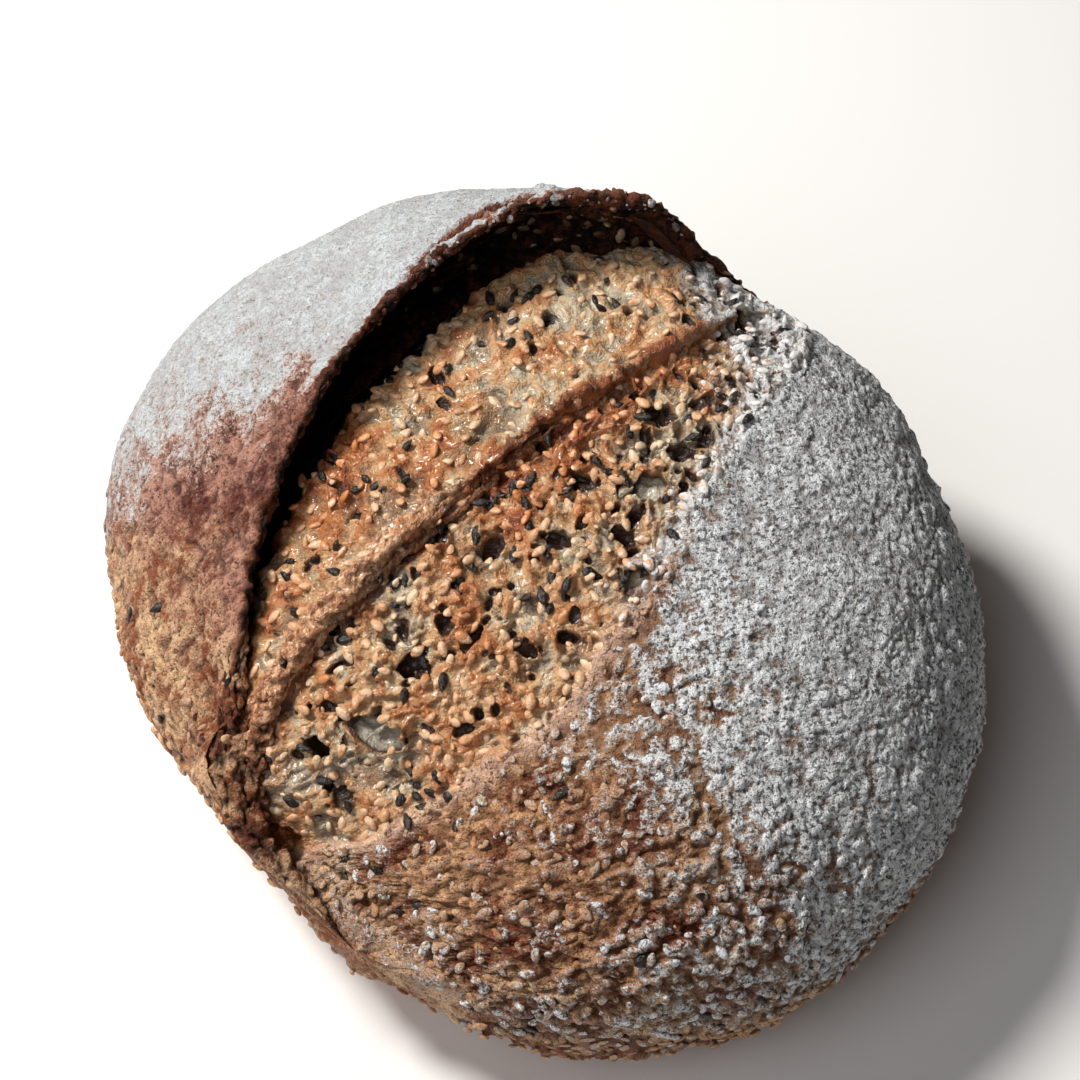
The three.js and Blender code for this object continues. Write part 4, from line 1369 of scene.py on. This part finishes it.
def torn_crumb():
    """Open wheat crumb, torn by the rising dough and dried by the oven: a moist, gelled starch that lets a
    little light in, glossy on the stretched films and toasted on the high strands."""
    material, tree, where = blank("torn_crumb")
    drawn = add(tree, "Mapping", {"Vector": where, "Rotation": (0, 0, -TURN), "Scale": (1, DRAWN_OUT, 1)})
    # The walls of the finest bubbles, drawn at 0.45 mm so that they show, small bubbles, patches and fibres
    grain, granule, cloud, fibre = (
        add(tree, "TexNoise", [laid_on, per_mm(size), detail, rough])
        for laid_on, size, detail, rough in [
            (where, 0.45, 2, 0.5), (where, 1.2, 3, 0.6), (where, 2.8, 6, 0.66), (drawn, 0.9, 4, 0.65)])
    toast, deep, band, seam, hollow, film, lip, burnt, inside = (
        add(tree, "Attribute", out="Fac", attribute_name=name)
        for name in ["toast", "deep", "band", "seam", "hollow", "film", "lip", "burnt", "inside"])
    toast = weighed(tree, [(toast, 1), (cloud, 1.6)], -0.8)
    tan, brown, dark = (
        add(tree, "MapRange", [toast, low, high], **EASED)
        for low, high in [(0, 0.35), (0.35, 0.8), (0.85, 1.25)])
    # Painted shade: small dark spots in the low grain, the crevices between strands (deep), the bottoms of
    # the holes, the fold past the ridge (in seam) and the gap under the ear (inside) are darkened.
    speck_shade = add(tree, "MapRange", [granule, 0.36, 0.5, 1, 0], **EASED)
    streaks = add(tree, "MapRange", [fibre, 0.42, 0.58], **EASED)
    hole_shade = add(tree, "MapRange", [hollow, 0.1, 0.75], **EASED)
    clear = add(tree, "MapRange", [cloud, 0.35, 0.6, 0.5, 1], **EASED)
    shown = layered(
        tree, "#ccbda2", ("#d8ab7b", tan, 1), ("#bd7540", brown, 1), ("#8a3d18", dark, 1),
        ("#6e4424", speck_shade, 0.3), ("#5c3a22", deep, 0.6),
        # The drawn band is tan dough with streaks, painted paler for the light that falls on it: its own
        # colour and painted light.
        (layered(tree, "#edbd92", ("#a4623a", streaks, 1)), band, 0.85),
        (layered(tree, "#9c4a24", ("#3d1207", streaks, 1)), seam, 0.85),
        ("#3c2114", hole_shade, 1), ("#cfc6b2", film, clear), ("#eec3a6", lip, 0.9), ("#8a4a2a", burnt, 0.6),
        ("#0d0402", inside, 1))
    # The flour's crevices get painted shade as well.
    flour, cover = flour_coat(tree, grain, granule, cloud, "#c4af9d", "#dfe0df", "#5a463a", 0.7)
    shader = add(tree, "BsdfPrincipled", {
        "Base Color": layered(tree, shown, (flour, cover, 1)),
        "Roughness": add(tree, "MapRange", [toast, 0, 0.7, 0.16, 0.36], **EASED),
        "IOR": 1.45,
        "Specular IOR Level": 0.75,
        "Coat Weight": 0.35,
        "Coat Roughness": 0.14,
        "Subsurface Weight": 0.2,
        "Subsurface Radius": (1.0, 0.45, 0.2),
        "Subsurface Scale": 1.2 * MM,
        "Normal": bumped(tree, [(cloud, 1.3), (granule, 0.6), (fibre, 0.25), (grain, 0.45)]),
    })
    add(tree, "OutputMaterial", {"Surface": shader})
    return material


def crusted_sesame():
    """Sesame baked into the crust: the dough's skin has crept over each seed, so it takes the crust's
    colour, paler where the hull shows through, and holds flour on top."""
    material, tree, where = blank("crusted_sesame")
    skin, flour, cover, cloud, granule, grain = crust_finish(tree, where)
    tint = add(tree, "Attribute", out="Fac", attribute_name="tint")
    bare = add(tree, "MapRange", [cloud, 0.38, 0.6, 0.25, 0.8], **EASED)
    hull = layered(tree, "#f2cda0", ("#a8642e", tint, 1))
    shader = add(tree, "BsdfPrincipled", {
        "Base Color": layered(tree, skin, (hull, bare, 1), (flour, cover, 1)),
        "Roughness": add(tree, "MapRange", [cover, 0, 1, 0.42, 0.95], **EASED),
        "IOR": 1.46,
        "Specular IOR Level": 0.45,
        "Normal": bumped(tree, [(cloud, 1.1), (granule, 0.7), (grain, 0.25)]),
    })
    add(tree, "OutputMaterial", {"Surface": shader})
    return material


def hulled_sesame():
    """Hulled white sesame in the torn crumb: smooth, oily seed with a waxy gloss, from ivory to toasted,
    under a film of dough here and there."""
    material, tree, where = blank("hulled_sesame")
    patch = add(tree, "TexNoise", [where, per_mm(1.3), 3, 0.6])
    tint, toast, gap_wall_shade, flour = (
        add(tree, "Attribute", out="Fac", attribute_name=name) for name in ["tint", "toast", "gap_wall_shade", "flour"])
    warm, toasted = (add(tree, "MapRange", [tint, low, high], **EASED) for low, high in [(0, 0.6), (0.6, 1)])
    filmed = add(tree, "MapRange", [patch, 0.38, 0.56], **EASED)
    cover = add(tree, "MapRange", [weighed(tree, [(patch, 1), (flour, 0.48)], -0.74), -0.06, 0.05], **EASED)
    film = layered(tree, "#dcc7a6", ("#c57b43", toast, 1))
    shader = add(tree, "BsdfPrincipled", {
        # Seeds in the gap's wall are painted dark brown for the gap's shade.
        "Base Color": layered(tree, "#e6c6a6", ("#dba57a", warm, 1), ("#bd7a44", toasted, 1),
                              (film, filmed, 1), ("#4a2415", gap_wall_shade, 1), ("#dcdbd9", cover, 1)),
        "Roughness": add(tree, "MapRange", [cover, 0, 1, 0.34, 0.9], **EASED),
        "IOR": 1.47,
        "Specular IOR Level": 0.5,
        "Subsurface Weight": 0.1,
        "Subsurface Radius": (1.0, 0.6, 0.35),
        "Subsurface Scale": 0.8 * MM,
        "Normal": bumped(tree, [(patch, 0.5)]),
    })
    add(tree, "OutputMaterial", {"Surface": shader})
    return material


def black_sesame():
    """Black sesame in its hull: a thin skin, near black, wrinkled and a little glossy from the dough."""
    material, tree, where = blank("black_sesame")
    wrinkle = add(tree, "TexNoise", [where, per_mm(0.7), 3, 0.6])
    tint = add(tree, "Attribute", out="Fac", attribute_name="tint")
    # The tops of the wrinkles are a paler grey.
    pale_wrinkle_tops = add(tree, "MapRange", [wrinkle, 0.55, 0.7], **EASED)
    shader = add(tree, "BsdfPrincipled", {
        "Base Color": layered(tree, "#110d0c", ("#2a211c", tint, 1), ("#8d857c", pale_wrinkle_tops, 0.4)),
        "Roughness": 0.3,
        "IOR": 1.47,
        "Specular IOR Level": 0.5,
        "Normal": bumped(tree, [(wrinkle, 0.5)]),
    })
    add(tree, "OutputMaterial", {"Surface": shader})
    return material


def painted_board():
    """A board painted nearly white: matte, so it gives back a soft even light."""
    material, tree, _ = blank("painted_board")
    shader = add(tree, "BsdfPrincipled", {"Base Color": "#f2f1ef", "Roughness": 0.9})
    add(tree, "OutputMaterial", {"Surface": shader})
    return material


# -----------------------------------------------------------------------------------------------------------
# The loaf, its floor, the light and the camera
# -----------------------------------------------------------------------------------------------------------
# The photograph's view: from well above the loaf, 30 degrees off straight down
CAMERA_AT = (0.42, -251.36, 499.85)  # mm
CAMERA_TILT = math.radians(30)
CAMERA_LENS = 92.2  # on a 36 mm sensor


def make_loaf():
    """Every piece with its material, in the order of the random draws."""
    torn, baked, hulled = torn_crumb(), baked_crust(), hulled_sesame()
    crusted, black = crusted_sesame(), black_sesame()
    skins = []
    for make in (make_base, make_ear, make_dome):
        piece, skin = make()
        fit_to_loaf(piece, baked)
        skins.append(skin)
    _, ear, dome = skins
    piece, crumb = make_crumb()
    fit_to_loaf(piece, torn)
    make_flaps(torn, baked)
    make_bits(ear, baked)
    white_seed = seed_shape("sesame_seed", *SESAME)
    black_seed = seed_shape("black_seed", *BLACK_SEED)
    sow_crumb(ear, crumb, white_seed, hulled)
    sow_crust(skins, white_seed, crusted)
    sow_black(ear, dome, crumb, black_seed, black)


def make_floor():
    """A plain floor, a hair below the loaf's flat base so that the two don't share a plane."""
    floor = added("floor", bpy.ops.mesh.primitive_plane_add, size=6, location=(0, 0, -0.1 * MM))
    floor.data.materials.append(painted_board())


def soft_light(name, spot, aim, width, power, tone):
    """A round soft light this many metres wide, at spot, turned towards aim."""
    data = bpy.data.lights.new(name, "AREA")
    data.shape = "DISK"
    data.size = width
    data.energy = power
    data.color = colour(tone)[:3]
    lamp = bpy.data.objects.new(name, data)
    bpy.context.scene.collection.objects.link(lamp)
    lamp.location = spot
    lamp.rotation_euler = (Vector(aim) - Vector(spot)).to_track_quat("-Z", "Y").to_euler()


def make_light():
    """A window high behind the ear, and the fainter light of the room from the camera's side."""
    soft_light("window_side", (-0.50, 0.26, 0.80), (0, 0, 0.04), 0.24, 11.4, "#fffcf8")
    soft_light("room_fill", (-0.40, -0.45, 0.86), (0, 0, 0.03), 0.7, 2.9, "#fbf9fc")
    world = bpy.data.worlds.new("studio")
    world.use_nodes = True
    world.node_tree.nodes["Background"].inputs["Color"].default_value = colour("#f4f4f4")
    world.node_tree.nodes["Background"].inputs["Strength"].default_value = 0.05
    bpy.context.scene.world = world
    bpy.context.scene.view_settings.view_transform = "Standard"


def make_camera():
    """The camera at the photograph's angle."""
    data = bpy.data.cameras.new("camera")
    data.sensor_width = 36
    data.lens = CAMERA_LENS
    camera = bpy.data.objects.new("camera", data)
    bpy.context.scene.collection.objects.link(camera)
    camera.location = [at * MM for at in CAMERA_AT]
    camera.rotation_euler = (CAMERA_TILT, 0, 0)
    bpy.context.scene.camera = camera


make_loaf()
make_floor()
make_light()
make_camera()
